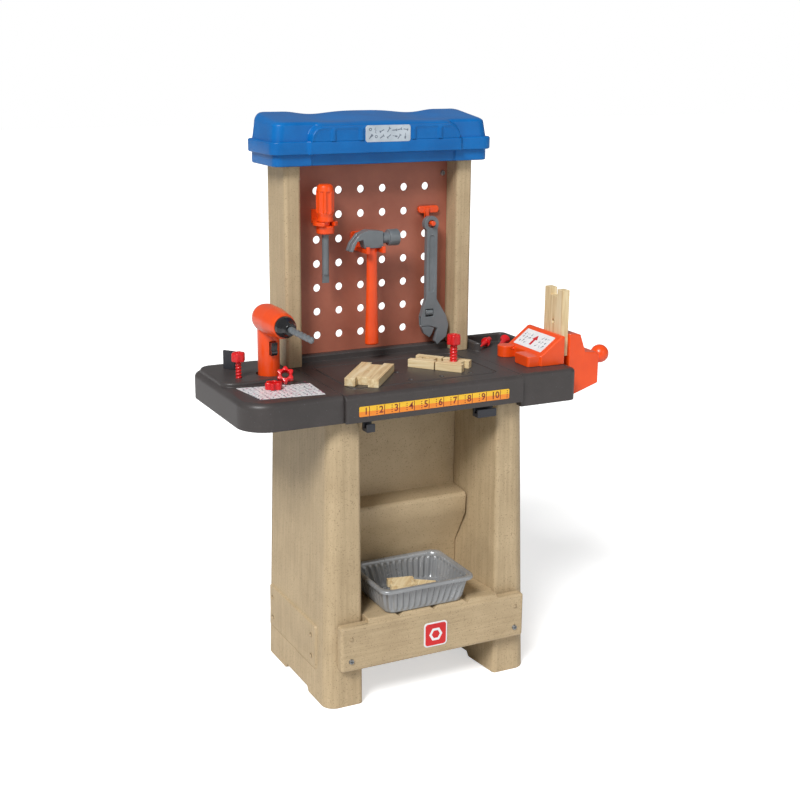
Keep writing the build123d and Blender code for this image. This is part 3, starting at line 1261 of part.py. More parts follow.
def make_flat_board(name, x, y, z, turn, length, width):
    direction = (cos(radians(turn)), sin(radians(turn)), 0)
    with BuildPart() as board:
        with BuildSketch(Plane(origin=place(x, y, z), x_dir=direction, z_dir=(0, 0, 1))):
            Rectangle(length, width)
            with Locations((-length / 2, 0), (length / 2, 0)):
                Rectangle(
                    2 * NOTCH_DEPTH * min(1, length / WOOD_LENGTH + 0.2),
                    NOTCH_WIDTH,
                    mode=Mode.SUBTRACT,
                )
            Circle(WOOD_HOLE_R if length < WOOD_LENGTH else WOOD_HOLE_R / 2, mode=Mode.SUBTRACT)
        extrude(amount=WOOD_THICK)
    save(board, name)


BLOCK_TURN = -51.0
BLOCK_A = (76.0, -148.0)
block_step = BLOCK_LENGTH + 2.0
BLOCK_B = (
    BLOCK_A[0] - block_step * cos(radians(BLOCK_TURN)),
    BLOCK_A[1] - block_step * sin(radians(BLOCK_TURN)),
)
make_flat_board("flat_board", -75, -151, COUNTER_TOP, 51, WOOD_LENGTH, WOOD_WIDTH)
make_flat_board("short_board_front", *BLOCK_A, COUNTER_TOP, BLOCK_TURN, BLOCK_LENGTH, BLOCK_WIDTH)
make_flat_board("short_board_back", *BLOCK_B, COUNTER_TOP, BLOCK_TURN, BLOCK_LENGTH, BLOCK_WIDTH)

with BuildPart() as vise_board:
    with BuildSketch(across(CLAMP_X + GRIP)):
        with Locations((SCREW_Y, TONGUE_HIGH + SOFT_GAP + WOOD_LENGTH / 2)):
            Rectangle(WOOD_WIDTH, WOOD_LENGTH)
            with Locations((0, WOOD_LENGTH / 2), (0, -WOOD_LENGTH / 2)):
                Rectangle(NOTCH_WIDTH, 2 * NOTCH_DEPTH, mode=Mode.SUBTRACT)
            Circle(WOOD_HOLE_R / 2, mode=Mode.SUBTRACT)
    extrude(amount=WOOD_THICK)
save(vise_board, "vise_board")


def make_bolt(name, x, y, low, shank_top, top, shank_r, head_r):
    with BuildPart() as bolt:
        with BuildSketch(level(low)):
            with Locations((x, y)):
                Circle(shank_r)
        extrude(amount=shank_top - low)
        with BuildSketch(level(shank_top)):
            with Locations((x, y)):
                RegularPolygon(head_r, 6)
        extrude(amount=top - shank_top)
        fillet(bolt.faces().sort_by(Axis.Z)[-1].edges(), radius=1.5)
    save(bolt, name)


make_bolt("board_bolt", *BLOCK_A, COUNTER_TOP + SOFT_GAP, COUNTER_TOP + 41, COUNTER_TOP + 57, 6.3, 12)
make_bolt("dock_bolt", *SOCKET_BOLT, COUNTER_TOP + 1, COUNTER_TOP + 33, COUNTER_TOP + 47, 4.8, 11)

NUT_R = 12.5
NUT_THICK = 11.0


def make_nut(name, plane):
    with BuildPart() as nut:
        with BuildSketch(plane):
            RegularPolygon(NUT_R, 6)
            with PolarLocations(NUT_R - 1.5, 6, start_angle=30):
                Circle(3)
            Circle(WOOD_HOLE_R - 1, mode=Mode.SUBTRACT)
        extrude(amount=NUT_THICK)
    save(nut, name)


label_top = COUNTER_TOP + LABEL_THICK
make_nut("loose_nut_flat", Plane(origin=place(-236, -150, label_top)))
make_nut(
    "loose_nut_leaning",
    Plane(
        origin=place(-208, -128, label_top + 11.4),
        x_dir=(1, 0, 0),
        z_dir=(-0.3, -0.75, 0.6),
    ),
)


def rod_plane(start, end):
    """Plane at the start of a lying rod, facing along it."""
    return Plane(origin=place(*start), z_dir=tuple(b - a for a, b in zip(start, end)))


nail_tip = (184.0, -50.0, COUNTER_TOP + 6.6)
nail_end = (220.0, -19.0, COUNTER_TOP + 11.0)
with BuildPart() as nail:
    nail_plane = rod_plane(nail_tip, nail_end)
    with BuildSketch(nail_plane):
        Circle(1.2)
    with BuildSketch(nail_plane.offset(24)):
        Circle(5)
    loft()
    with BuildSketch(nail_plane.offset(24)):
        Circle(8)
    extrude(amount=4)
    with BuildSketch(nail_plane.offset(28)):
        Circle(4.5)
    extrude(amount=16)
save(nail, "toy_nail")

screw_tip = (216.0, -60.0, COUNTER_TOP + 5.0)
screw_end = (243.0, -33.0, COUNTER_TOP + 11.0)
with BuildPart() as toy_screw:
    screw_plane = rod_plane(screw_tip, screw_end)
    with BuildSketch(screw_plane):
        Circle(4.4)
    extrude(amount=26)
    with BuildSketch(screw_plane.offset(26)):
        Circle(4.4)
    with BuildSketch(screw_plane.offset(36)):
        Circle(9)
    loft()
save(toy_screw, "toy_screw")

# ============================================================================================
# STORAGE TRAY
# ============================================================================================
TRAY_X = (-98.0, 70.0)
TRAY_Y = (-250.0, -113.0)
TRAY_LOW = SHELF_TOP + SOFT_GAP
TRAY_HIGH = 196.0
TRAY_TAPER = 16.0
TRAY_WALL = 2.2
TRAY_LIP = 6.0
tray_mid = ((TRAY_X[0] + TRAY_X[1]) / 2, (TRAY_Y[0] + TRAY_Y[1]) / 2)
tray_size = (TRAY_X[1] - TRAY_X[0], TRAY_Y[1] - TRAY_Y[0])


def tray_section(z, inset, corner):
    with BuildSketch(level(z)) as section:
        with Locations(tray_mid):
            RectangleRounded(tray_size[0] - 2 * inset, tray_size[1] - 2 * inset, corner)
    return section.sketch


tray_foot = tray_section(TRAY_LOW, TRAY_TAPER, 14)
tray_mouth = tray_section(TRAY_HIGH, TRAY_LIP, 18)
tray_floor = tray_section(TRAY_LOW + TRAY_WALL, TRAY_TAPER + TRAY_WALL, 12)
tray_inside = tray_section(TRAY_HIGH, TRAY_LIP + TRAY_WALL, 16)
tray_rim = tray_section(TRAY_HIGH - 4, 0, 20)
with BuildPart() as tray:
    loft([tray_foot.faces()[0], tray_mouth.faces()[0]], ruled=True)
    extrude(tray_rim, amount=4)
    loft([tray_floor.faces()[0], tray_inside.faces()[0]], ruled=True, mode=Mode.SUBTRACT)
save(tray, "storage_tray")

SCRAP_LOW = TRAY_LOW + TRAY_WALL
with BuildPart() as scraps:
    for x, y, lift, turn in ((-48, -196, 0, 20), (8, -176, 0, -35), (-30, -180, WOOD_THICK, -12)):
        direction = (cos(radians(turn)), sin(radians(turn)), 0)
        with BuildSketch(Plane(origin=place(x, y, SCRAP_LOW + lift), x_dir=direction, z_dir=(0, 0, 1))):
            Rectangle(44, 34)
            with Locations((-22, 0), (22, 0)):
                Rectangle(14, 14, mode=Mode.SUBTRACT)
        extrude(amount=WOOD_THICK - SOFT_GAP)
save(scraps, "tray_blocks")
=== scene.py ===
# %% [markdown]
# # A toddler's play workbench
# The real thing is a set of hollow plastic mouldings: a tan cabinet with an open bay, a dark
# counter with two wings, two uprights with a peg board and a blue roof, and loose toy tools.
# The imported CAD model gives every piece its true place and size, so this lesson only dresses
# it: each CAD piece is given rounded moulding edges and a finish, and the pieces whose shape
# is richer than the CAD's are modelled again on the same boxes.
# %% Load the frame
import json
import math
import random

import bmesh
import bpy
from mathutils import Matrix, Vector


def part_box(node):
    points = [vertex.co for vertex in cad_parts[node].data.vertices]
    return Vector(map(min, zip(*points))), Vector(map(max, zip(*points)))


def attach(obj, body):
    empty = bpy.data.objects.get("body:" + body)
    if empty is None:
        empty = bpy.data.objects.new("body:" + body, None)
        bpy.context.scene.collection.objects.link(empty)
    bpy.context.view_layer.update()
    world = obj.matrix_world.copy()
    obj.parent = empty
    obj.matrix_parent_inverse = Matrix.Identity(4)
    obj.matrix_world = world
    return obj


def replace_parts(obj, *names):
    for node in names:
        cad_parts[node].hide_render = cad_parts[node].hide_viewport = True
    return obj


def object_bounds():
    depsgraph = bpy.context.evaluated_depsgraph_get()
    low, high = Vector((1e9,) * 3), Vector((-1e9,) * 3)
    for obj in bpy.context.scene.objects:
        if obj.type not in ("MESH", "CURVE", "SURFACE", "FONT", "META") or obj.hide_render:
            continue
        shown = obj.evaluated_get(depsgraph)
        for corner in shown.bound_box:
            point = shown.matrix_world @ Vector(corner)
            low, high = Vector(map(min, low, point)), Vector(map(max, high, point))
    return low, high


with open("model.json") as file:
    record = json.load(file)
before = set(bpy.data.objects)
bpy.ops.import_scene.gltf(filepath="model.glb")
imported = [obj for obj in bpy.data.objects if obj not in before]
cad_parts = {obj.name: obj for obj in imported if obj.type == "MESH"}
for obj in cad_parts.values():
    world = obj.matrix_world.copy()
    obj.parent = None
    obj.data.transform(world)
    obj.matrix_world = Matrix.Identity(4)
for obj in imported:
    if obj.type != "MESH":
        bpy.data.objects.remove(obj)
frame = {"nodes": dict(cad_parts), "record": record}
cad_low, cad_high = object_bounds()
MM = 0.001

# %% [markdown]
# ## Camera
# This is a catalogue shot: a long lens a little above the roof, turned towards the bench's left
# side. The camera's three axes are worked out from its yaw, pitch and roll and put straight
# into its matrix, which is surer than three Euler angles applied in some order.
# %% Camera
EYE = Vector((-0.9859, -1.9045, 1.0300))
YAW = math.radians(-26.78)
PITCH = math.radians(14.98)
ROLL = math.radians(0.434)
LENS = 60.59
FILM_WIDE = 36
ahead = Vector((-math.sin(YAW) * math.cos(PITCH), math.cos(YAW) * math.cos(PITCH),
                -math.sin(PITCH)))
level_right = Vector((math.cos(YAW), math.sin(YAW), 0))
level_up = level_right.cross(ahead)
right = level_right * math.cos(ROLL) + level_up * math.sin(ROLL)
up = level_up * math.cos(ROLL) - level_right * math.sin(ROLL)
lens = bpy.data.cameras.new("camera")
lens.lens = LENS
lens.sensor_width = FILM_WIDE
lens.clip_end = 60
camera = bpy.data.objects.new("camera", lens)
camera.matrix_world = Matrix((right, up, -ahead)).transposed().to_4x4()
camera.matrix_world.translation = EYE
bpy.context.scene.collection.objects.link(camera)
bpy.context.scene.camera = camera
bpy.context.scene.view_settings.view_transform = "Standard"
print("camera at", tuple(round(v, 3) for v in EYE))


# %% [markdown]
# Two small helpers serve every finish. Colours are written as sRGB hex and turned linear
# once. `add` makes any shader or geometry node with its settings and links.
# %% Helpers for node trees
def colour(code):
    """Linear colour of an sRGB hex code."""
    parts = [int(code[i : i + 2], 16) / 255 for i in (0, 2, 4)]
    return tuple(c / 12.92 if c <= 0.04045 else ((c + 0.055) / 1.055) ** 2.4
                 for c in parts) + (1.0,)


def add(tree, kind, links=None, stops=None, **settings):
    """One node, with its settings, its input values or links, and a ramp's stops."""
    made = tree.nodes.new(kind)
    for name, value in settings.items():
        setattr(made, name, value)
    if stops:
        ramp = made.color_ramp
        while len(ramp.elements) < len(stops):
            ramp.elements.new(0.5)
        for element, (place, shade) in zip(ramp.elements, stops):
            element.position = place
            element.color = shade
    for name, value in (links or {}).items():
        if isinstance(value, bpy.types.NodeSocket):
            tree.links.new(value, made.inputs[name])
        else:
            made.inputs[name].default_value = value
    return made


def blank_material(name):
    """A new material and its empty node tree."""
    material = bpy.data.materials.new(name)
    material.use_nodes = True
    material.node_tree.nodes.clear()
    return material, material.node_tree


print("white is", colour("FFFFFF"))

# %% [markdown]
# ## Floor
# The floor is a sheet of white paper that is much wider than the shot. Paper is never one flat
# white, so a slow noise moves it between two near whites. It gives back a little light of its
# own, as a sweep lit from behind does, but only to the camera, so that this light doesn't
# brighten the bench from below.
# %% Paper floor
FLOOR_HALF = 14.0
PAPER_GLOW = 0.55
paper, tree = blank_material("white_paper_sweep")
place = add(tree, "ShaderNodeTexCoord")
fibre = add(tree, "ShaderNodeTexNoise",
            {"Vector": place.outputs["Object"], "Scale": 3.0, "Detail": 2.0})
tone = add(tree, "ShaderNodeValToRGB", {"Fac": fibre.outputs["Fac"]},
           stops=[(0.3, colour("EFEFEF")), (0.7, colour("F4F4F3"))])
to_camera = add(tree, "ShaderNodeLightPath")
lift = add(tree, "ShaderNodeMath", {0: to_camera.outputs["Is Camera Ray"], 1: PAPER_GLOW},
           operation="MULTIPLY")
shader = add(tree, "ShaderNodeBsdfPrincipled",
             {"Base Color": tone.outputs["Color"], "Roughness": 0.9,
              "Emission Color": colour("FFFFFF"), "Emission Strength": lift.outputs["Value"]})
add(tree, "ShaderNodeOutputMaterial", {"Surface": shader.outputs["BSDF"]})

floor_mesh = bpy.data.meshes.new("floor")
floor_mesh.from_pydata([(-FLOOR_HALF, -FLOOR_HALF, 0), (FLOOR_HALF, -FLOOR_HALF, 0),
                        (FLOOR_HALF, FLOOR_HALF, 0), (-FLOOR_HALF, FLOOR_HALF, 0)],
                       [], [(0, 1, 2, 3)])
floor_mesh.materials.append(paper)
floor = bpy.data.objects.new("floor", floor_mesh)
bpy.context.scene.collection.objects.link(floor)
print("floor is", 2 * FLOOR_HALF, "m wide")

# %% [markdown]
# ## Light
# The key comes from high on the left. It is a sun, so it lights the whole floor evenly, and
# its wide angle makes the soft shadows of a large soft box. A square soft box fills in from
# the front right, and a dim sky lifts the rest. The sky looks full white only to the camera.
# %% Lights and sky
KEY_FROM = Vector((-0.54, -0.475, 0.695))
KEY_STRENGTH = 2.95
KEY_SPREAD = 20
FILL_FROM = Vector((0.5, -1.0, 0.45))
FILL_AWAY, FILL_SIZE, FILL_POWER = 3.4, 1.6, 9
SKY_ON_BENCH, SKY_SEEN = 0.25, 1.0

key = bpy.data.lights.new("key_sun", "SUN")
key.energy = KEY_STRENGTH
key.angle = math.radians(KEY_SPREAD)
key_holder = bpy.data.objects.new("key_sun", key)
key_holder.rotation_euler = (-KEY_FROM).to_track_quat("-Z", "Y").to_euler()
bpy.context.scene.collection.objects.link(key_holder)

fill = bpy.data.lights.new("front_fill", "AREA")
fill.shape = "SQUARE"
fill.size = FILL_SIZE
fill.energy = FILL_POWER
fill_holder = bpy.data.objects.new("front_fill", fill)
fill_holder.location = (cad_low + cad_high) / 2 + FILL_FROM.normalized() * FILL_AWAY
fill_holder.rotation_euler = (-FILL_FROM).to_track_quat("-Z", "Y").to_euler()
bpy.context.scene.collection.objects.link(fill_holder)

world = bpy.data.worlds.new("studio")
bpy.context.scene.world = world
world.use_nodes = True
world.node_tree.nodes.clear()
seen = add(world.node_tree, "ShaderNodeLightPath")
glow = add(world.node_tree, "ShaderNodeMix",
           {"Factor": seen.outputs["Is Camera Ray"], 2: SKY_ON_BENCH, 3: SKY_SEEN})
sky = add(world.node_tree, "ShaderNodeBackground",
          {"Color": colour("FFFFFF"), "Strength": glow.outputs[0]})
add(world.node_tree, "ShaderNodeOutputWorld", {"Surface": sky.outputs["Background"]})


# %% [markdown]
# ## Finishes
# Most of the toy is moulded polyethylene or ABS. A moulding is never one flat colour: the
# melt leaves a faint mottle, the tool leaves a fine texture, and the stone-look grades carry
# dark flecks. One function makes these finishes from real sizes in millimetres: a noise's
# scale is how many of its cells fit in a metre. Anything finer than about 2 mm is drawn that
# coarse, so that it still shows.
# %% Moulded plastic
PER_METRE = 1000
WAVE_PERIOD_MM = 314  # at scale 1 the wave texture repeats every 2 pi / 20 metres


def moulded(name, light, deep, rough, mottle_mm=55, peel_mm=2.4, peel_depth=0.03, fleck=None,
            fleck_mm=2.2, fleck_part=0.6, stretch=(1, 1, 1), grain_mm=0, grain_depth=0.0,
            wave_axis=None, wave_mm=60.0, wave_depth=0.0, coat=0.0, sheen_ior=1.5):
    """Moulded plastic: mottle, flecks, tool texture and moulded wood grain."""
    material, tree = blank_material(name)
    place = add(tree, "ShaderNodeTexCoord").outputs["Object"]
    mottle = add(tree, "ShaderNodeTexNoise", {"Vector": place, "Scale": PER_METRE / mottle_mm,
                                              "Detail": 4.0, "Roughness": 0.6})
    shade = add(tree, "ShaderNodeValToRGB", {"Fac": mottle.outputs["Fac"]},
                stops=[(0.32, colour(deep)), (0.68, colour(light))])
    tint = shade.outputs["Color"]
    if fleck:
        dust = add(tree, "ShaderNodeTexNoise",
                   {"Vector": place, "Scale": PER_METRE / fleck_mm, "Detail": 2.0})
        spots = add(tree, "ShaderNodeValToRGB", {"Fac": dust.outputs["Fac"]},
                    stops=[(fleck_part, (0, 0, 0, 1)), (fleck_part + 0.08, (1, 1, 1, 1))])
        mixed = add(tree, "ShaderNodeMix",
                    {"Factor": spots.outputs["Color"], 6: tint, 7: colour(fleck)},
                    data_type="RGBA")
        tint = mixed.outputs[2]
    peel = add(tree, "ShaderNodeTexNoise",
               {"Vector": place, "Scale": PER_METRE / peel_mm, "Detail": 2.0})
    bump = add(tree, "ShaderNodeBump", {"Height": peel.outputs["Fac"],
                                        "Distance": peel_depth * MM, "Strength": 1.0})
    if grain_mm:
        turned = add(tree, "ShaderNodeMapping", {"Vector": place, "Scale": stretch})
        fibres = add(tree, "ShaderNodeTexNoise",
                     {"Vector": turned.outputs["Vector"], "Scale": PER_METRE / grain_mm,
                      "Detail": 3.0, "Roughness": 0.55})
        bump = add(tree, "ShaderNodeBump", {"Height": fibres.outputs["Fac"],
                                            "Distance": grain_depth * MM,
                                            "Normal": bump.outputs["Normal"]})
        streak = add(tree, "ShaderNodeValToRGB", {"Fac": fibres.outputs["Fac"]},
                     stops=[(0.3, (0.86, 0.85, 0.83, 1)), (0.62, (1, 1, 1, 1))])
        streaked = add(tree, "ShaderNodeMix",
                       {"Factor": 1.0, 6: tint, 7: streak.outputs["Color"]},
                       data_type="RGBA", blend_type="MULTIPLY")
        tint = streaked.outputs[2]
    if wave_axis:
        waves = add(tree, "ShaderNodeTexWave",
                    {"Vector": place, "Scale": WAVE_PERIOD_MM / wave_mm, "Distortion": 7.0,
                     "Detail": 2.0, "Detail Scale": 0.35, "Detail Roughness": 0.4},
                    bands_direction=wave_axis)
        bump = add(tree, "ShaderNodeBump", {"Height": waves.outputs["Fac"],
                                            "Distance": wave_depth * MM,
                                            "Normal": bump.outputs["Normal"]})
    gloss = add(tree, "ShaderNodeMapRange", {"Value": mottle.outputs["Fac"],
                                             "To Min": rough - 0.05, "To Max": rough + 0.06})
    shader = add(tree, "ShaderNodeBsdfPrincipled",
                 {"Base Color": tint, "Roughness": gloss.outputs["Result"], "IOR": sheen_ior,
                  "Coat Weight": coat, "Normal": bump.outputs["Normal"]})
    add(tree, "ShaderNodeOutputMaterial", {"Surface": shader.outputs["BSDF"]})
    return material


print("moulded plastic ready")

# %% [markdown]
# The cabinet and posts are polyethylene in a sandstone grade: matt tan with brown flecks. The
# tool has wood grain cut into it, upright on the legs and posts and level on the rail and
# shelf, so a noise is squeezed along that direction. The counter is the same plastic in a
# charcoal grade, and the roof is smooth blue.
# %% Cabinet, counter and roof plastics
SANDSTONE = {"light": "C2AC89", "deep": "B59F7D", "rough": 0.55, "fleck": "9B8768"}
# upright grain: long streaks down the legs, which darken the tan a little
tan_upright = moulded("sandstone_polyethylene_upright", **SANDSTONE, stretch=(1, 1, 0.035),
                      grain_mm=4.5, grain_depth=0.35)
# level grain, with slow wavy rings about 60 mm apart, as in a sawn plank
tan_level = moulded("sandstone_polyethylene_level", **SANDSTONE, stretch=(0.05, 1, 1),
                    grain_mm=4.0, grain_depth=0.35, wave_axis="Z", wave_mm=60.0, wave_depth=0.5)
# the back of the bay has no grain, only the flecks
tan_plain = moulded("sandstone_polyethylene_plain", **SANDSTONE)
# blow-moulded in charcoal: satin, with faint grey flecks
charcoal = moulded("charcoal_polyethylene", "45403F", "3D3938", 0.42, fleck="5C5A60",
                   fleck_part=0.68, fleck_mm=2.0, peel_depth=0.05)
# the hooks under the apron are injection moulded: darker, with no flecks
charcoal_dark = moulded("black_polypropylene", "33343A", "2B2C31", 0.4)
# blow-moulded in blue: its low IOR keeps the sky from bleaching the colour
roof_blue = moulded("blue_polyethylene", "006DB9", "0061A9", 0.34, peel_mm=4,
                    peel_depth=0.02, sheen_ior=1.38)
# extruded sheet with punched holes: an even half-matt brown
brown_sheet = moulded("brown_polypropylene_sheet", "B06A54", "9C5A47", 0.5, mottle_mm=90,
                      peel_depth=0.04)
print("large mouldings' finishes", len(bpy.data.materials) - 1)

# %% [markdown]
# The tools and the vise are injection moulded ABS from a polished tool, so they are glossier
# than the cabinet, and a light coat gives them their second, sharper highlight.
# %% Tool plastics
# orange ABS: a bright body with a clear highlight
orange = moulded("orange_abs", "F45212", "E8480E", 0.3, peel_depth=0.015, coat=0.15)
# grey ABS that stands for steel on the toy tools: it isn't metallic
tool_grey = moulded("silver_grey_abs", "747A7E", "646A6E", 0.34, peel_depth=0.02, coat=0.2)
# black ABS on the drill's chuck and trigger: the glossiest plastic on the toy
black_abs = moulded("black_abs", "1D1D20", "141416", 0.24, peel_depth=0.015, coat=0.4)
# red ABS on the bolts, nuts, nail and screw
red = moulded("red_abs", "DC161C", "CB1016", 0.3, peel_depth=0.015, coat=0.15)
# the tray is thin silver polystyrene: a little light comes through its walls, kept low so
# that the ribs still shade, and the silver pigment makes it a quarter metallic
tray_grey = moulded("silver_polystyrene", "A2A4A6", "929496", 0.26, peel_depth=0.01, coat=0.4)
tray_shader = next(n for n in tray_grey.node_tree.nodes if n.type == "BSDF_PRINCIPLED")
tray_shader.inputs["Transmission Weight"].default_value = 0.12
tray_shader.inputs["Metallic"].default_value = 0.25
print("tool and tray plastics", [m.name for m in (orange, tool_grey, black_abs, red, tray_grey)])


# %% [markdown]
# The screws, the wrench's pin and the trigger's spring are zinc-plated steel. Zinc is a cloudy
# grey metal, so one noise moves both its tone and its roughness.
# %% Zinc
def zinc(name, tint, rough, wear_mm=3.0):
    """Zinc-plated steel: metallic, with fine wear."""
    material, tree = blank_material(name)
    place = add(tree, "ShaderNodeTexCoord").outputs["Object"]
    wear = add(tree, "ShaderNodeTexNoise",
               {"Vector": place, "Scale": PER_METRE / wear_mm, "Detail": 4.0})
    gloss = add(tree, "ShaderNodeMapRange", {"Value": wear.outputs["Fac"],
                                             "To Min": rough - 0.1, "To Max": rough + 0.15})
    tone = add(tree, "ShaderNodeValToRGB", {"Fac": wear.outputs["Fac"]},
               stops=[(0.3, colour("7C7F82")), (0.7, colour(tint))])
    shader = add(tree, "ShaderNodeBsdfPrincipled",
                 {"Base Color": tone.outputs["Color"], "Metallic": 1.0,
                  "Roughness": gloss.outputs["Result"]})
    add(tree, "ShaderNodeOutputMaterial", {"Surface": shader.outputs["BSDF"]})
    return material


steel = zinc("zinc_plated_steel", "B9BCBF", 0.35)
print("metal", steel.name)


# %% [markdown]
# The labels are vinyl sheets printed with inks. An ink is an even film, so it uses the same
# finish as a moulding with a finer mottle and almost no texture, under a thin coat. The ruler
# is printed in two bands, yellow above its middle and orange below, which one comparison of
# the height gives.
# %% Vinyl and inks
def ink(name, code, deep, rough=0.4):
    """Printed vinyl: an even ink film that still shades a little with the sheet."""
    return moulded(name, code, deep, rough, mottle_mm=20, peel_mm=3, peel_depth=0.008, coat=0.3)


vinyl_white = ink("white_vinyl", "F0F1F2", "E4E6E9")
ink_grey = ink("grey_ink", "6F7B8A", "5B6674")
ink_red = ink("red_ink", "D8222C", "C41A24")
ink_magenta = ink("magenta_ink", "D6307E", "C0266E")
ruler_red = ink("dark_red_ink", "7E1C14", "6C1610")
plate_silver = ink("silver_foil_vinyl", "C3CDD6", "AEB9C3", 0.3)

ruler_vinyl = ink("two_band_ruler_vinyl", "F7C52C", "F0BA20")
ruler_low, ruler_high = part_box("ruler_strip")
tree = ruler_vinyl.node_tree
ruler_shader = next(n for n in tree.nodes if n.type == "BSDF_PRINCIPLED")
yellow = ruler_shader.inputs["Base Color"].links[0].from_socket
place = add(tree, "ShaderNodeTexCoord")
spot = add(tree, "ShaderNodeSeparateXYZ", {"Vector": place.outputs["Object"]})
below = add(tree, "ShaderNodeMath",
            {0: spot.outputs["Z"], 1: (ruler_low.z + ruler_high.z) / 2}, operation="LESS_THAN")
banded = add(tree, "ShaderNodeMix",
             {"Factor": below.outputs["Value"], 6: yellow, 7: colour("F08A1E")},
             data_type="RGBA")
tree.links.new(banded.outputs[2], ruler_shader.inputs["Base Color"])
print("materials", len(bpy.data.materials))


# %% [markdown]
# The toy's wood pieces are planed pine. Growth rings run along the board as long bands, with
# finer fibre streaks between them. The bands come from noise squeezed along the board, so a
# Mapping node turns the pattern to each board's own direction.
# %% Pine
def pine(name, turn=0.0, upright=False, ring_mm=7.0, fibre_mm=1.8):
    """Planed pine whose grain runs along the board."""
    material, tree = blank_material(name)
    place = add(tree, "ShaderNodeTexCoord").outputs["Object"]
    spin = (0, math.radians(90), 0) if upright else (0, 0, math.radians(-turn))
    turned = add(tree, "ShaderNodeMapping", {"Vector": place, "Rotation": spin})
    drawn = add(tree, "ShaderNodeMapping",
                {"Vector": turned.outputs["Vector"], "Scale": (0.07, 1, 1)})
    rings = add(tree, "ShaderNodeTexNoise",
                {"Vector": drawn.outputs["Vector"], "Scale": PER_METRE / ring_mm,
                 "Detail": 2.0, "Distortion": 0.6})
    fibres = add(tree, "ShaderNodeTexNoise", {"Vector": drawn.outputs["Vector"],
                                              "Scale": PER_METRE / fibre_mm, "Detail": 3.0})
    both = add(tree, "ShaderNodeMix",
               {"Factor": 0.3, 2: rings.outputs["Fac"], 3: fibres.outputs["Fac"]})
    tone = add(tree, "ShaderNodeValToRGB", {"Fac": both.outputs[0]},
               stops=[(0.36, colour("CDB083")), (0.5, colour("E0C99C")),
                      (0.64, colour("EBDAB5"))])
    bump = add(tree, "ShaderNodeBump", {"Height": both.outputs[0], "Distance": 0.12 * MM})
    shader = add(tree, "ShaderNodeBsdfPrincipled",
                 {"Base Color": tone.outputs["Color"], "Roughness": 0.6,
                  "Normal": bump.outputs["Normal"]})
    add(tree, "ShaderNodeOutputMaterial", {"Surface": shader.outputs["BSDF"]})
    return material


BOARD_TURN = 51  # degrees between the loose boards and the counter's length
pine_left = pine("planed_pine_left", BOARD_TURN)
pine_right = pine("planed_pine_right", -BOARD_TURN)
pine_upright = pine("planed_pine_upright", upright=True)
print("pine", [m.name for m in (pine_left, pine_right, pine_upright)])


# %% [markdown]
# ## Rounded mouldings
# No moulded edge is sharp: it catches a thin line of light. The CAD pieces have sharp edges
# where only a large radius mattered, so each is copied, its triangles are joined back into
# flat faces, and every edge over 35 degrees gets a small round. The copy stands for its node.
# %% Copy a CAD node and finish a piece
BODY_OF = {n: b for b, ns in frame["record"]["behaviour"]["bodies"].items() for n in ns}
WELD = 0.02 * MM
FLAT = math.radians(0.02)


def joined(node):
    """A CAD node's mesh as one closed surface of flat faces."""
    shape = bmesh.new()
    shape.from_mesh(frame["nodes"][node].data)
    bmesh.ops.remove_doubles(shape, verts=shape.verts[:], dist=WELD)
    bmesh.ops.dissolve_limit(shape, angle_limit=FLAT, verts=shape.verts[:],
                             edges=shape.edges[:])
    return shape


def baked(obj):
    """An object's mesh with its modifiers applied."""
    bpy.context.view_layer.update()
    return bpy.data.meshes.new_from_object(
        obj.evaluated_get(bpy.context.evaluated_depsgraph_get()))


def shaded(obj, angle):
    """Smooth shading with faces weighted by size, made part of the mesh."""
    obj.data.shade_smooth()
    obj.data.set_sharp_from_angle(angle=math.radians(angle))
    weight = obj.modifiers.new("weight", "WEIGHTED_NORMAL")
    weight.keep_sharp = True
    plain = baked(obj)
    obj.modifiers.clear()
    obj.data = plain


def piece(name, shape, material, node, angle=38, smooth=True):
    """A bmesh as a finished piece, on the body of a CAD node."""
    mesh = bpy.data.meshes.new(name)
    shape.to_mesh(mesh)
    shape.free()
    mesh.materials.clear()
    mesh.materials.append(material)
    made = bpy.data.objects.new(name, mesh)
    bpy.context.scene.collection.objects.link(made)
    if smooth:
        shaded(made, angle)
    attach(made, BODY_OF[node])
    return made


print("bodies that carry pieces", len(set(BODY_OF.values())))

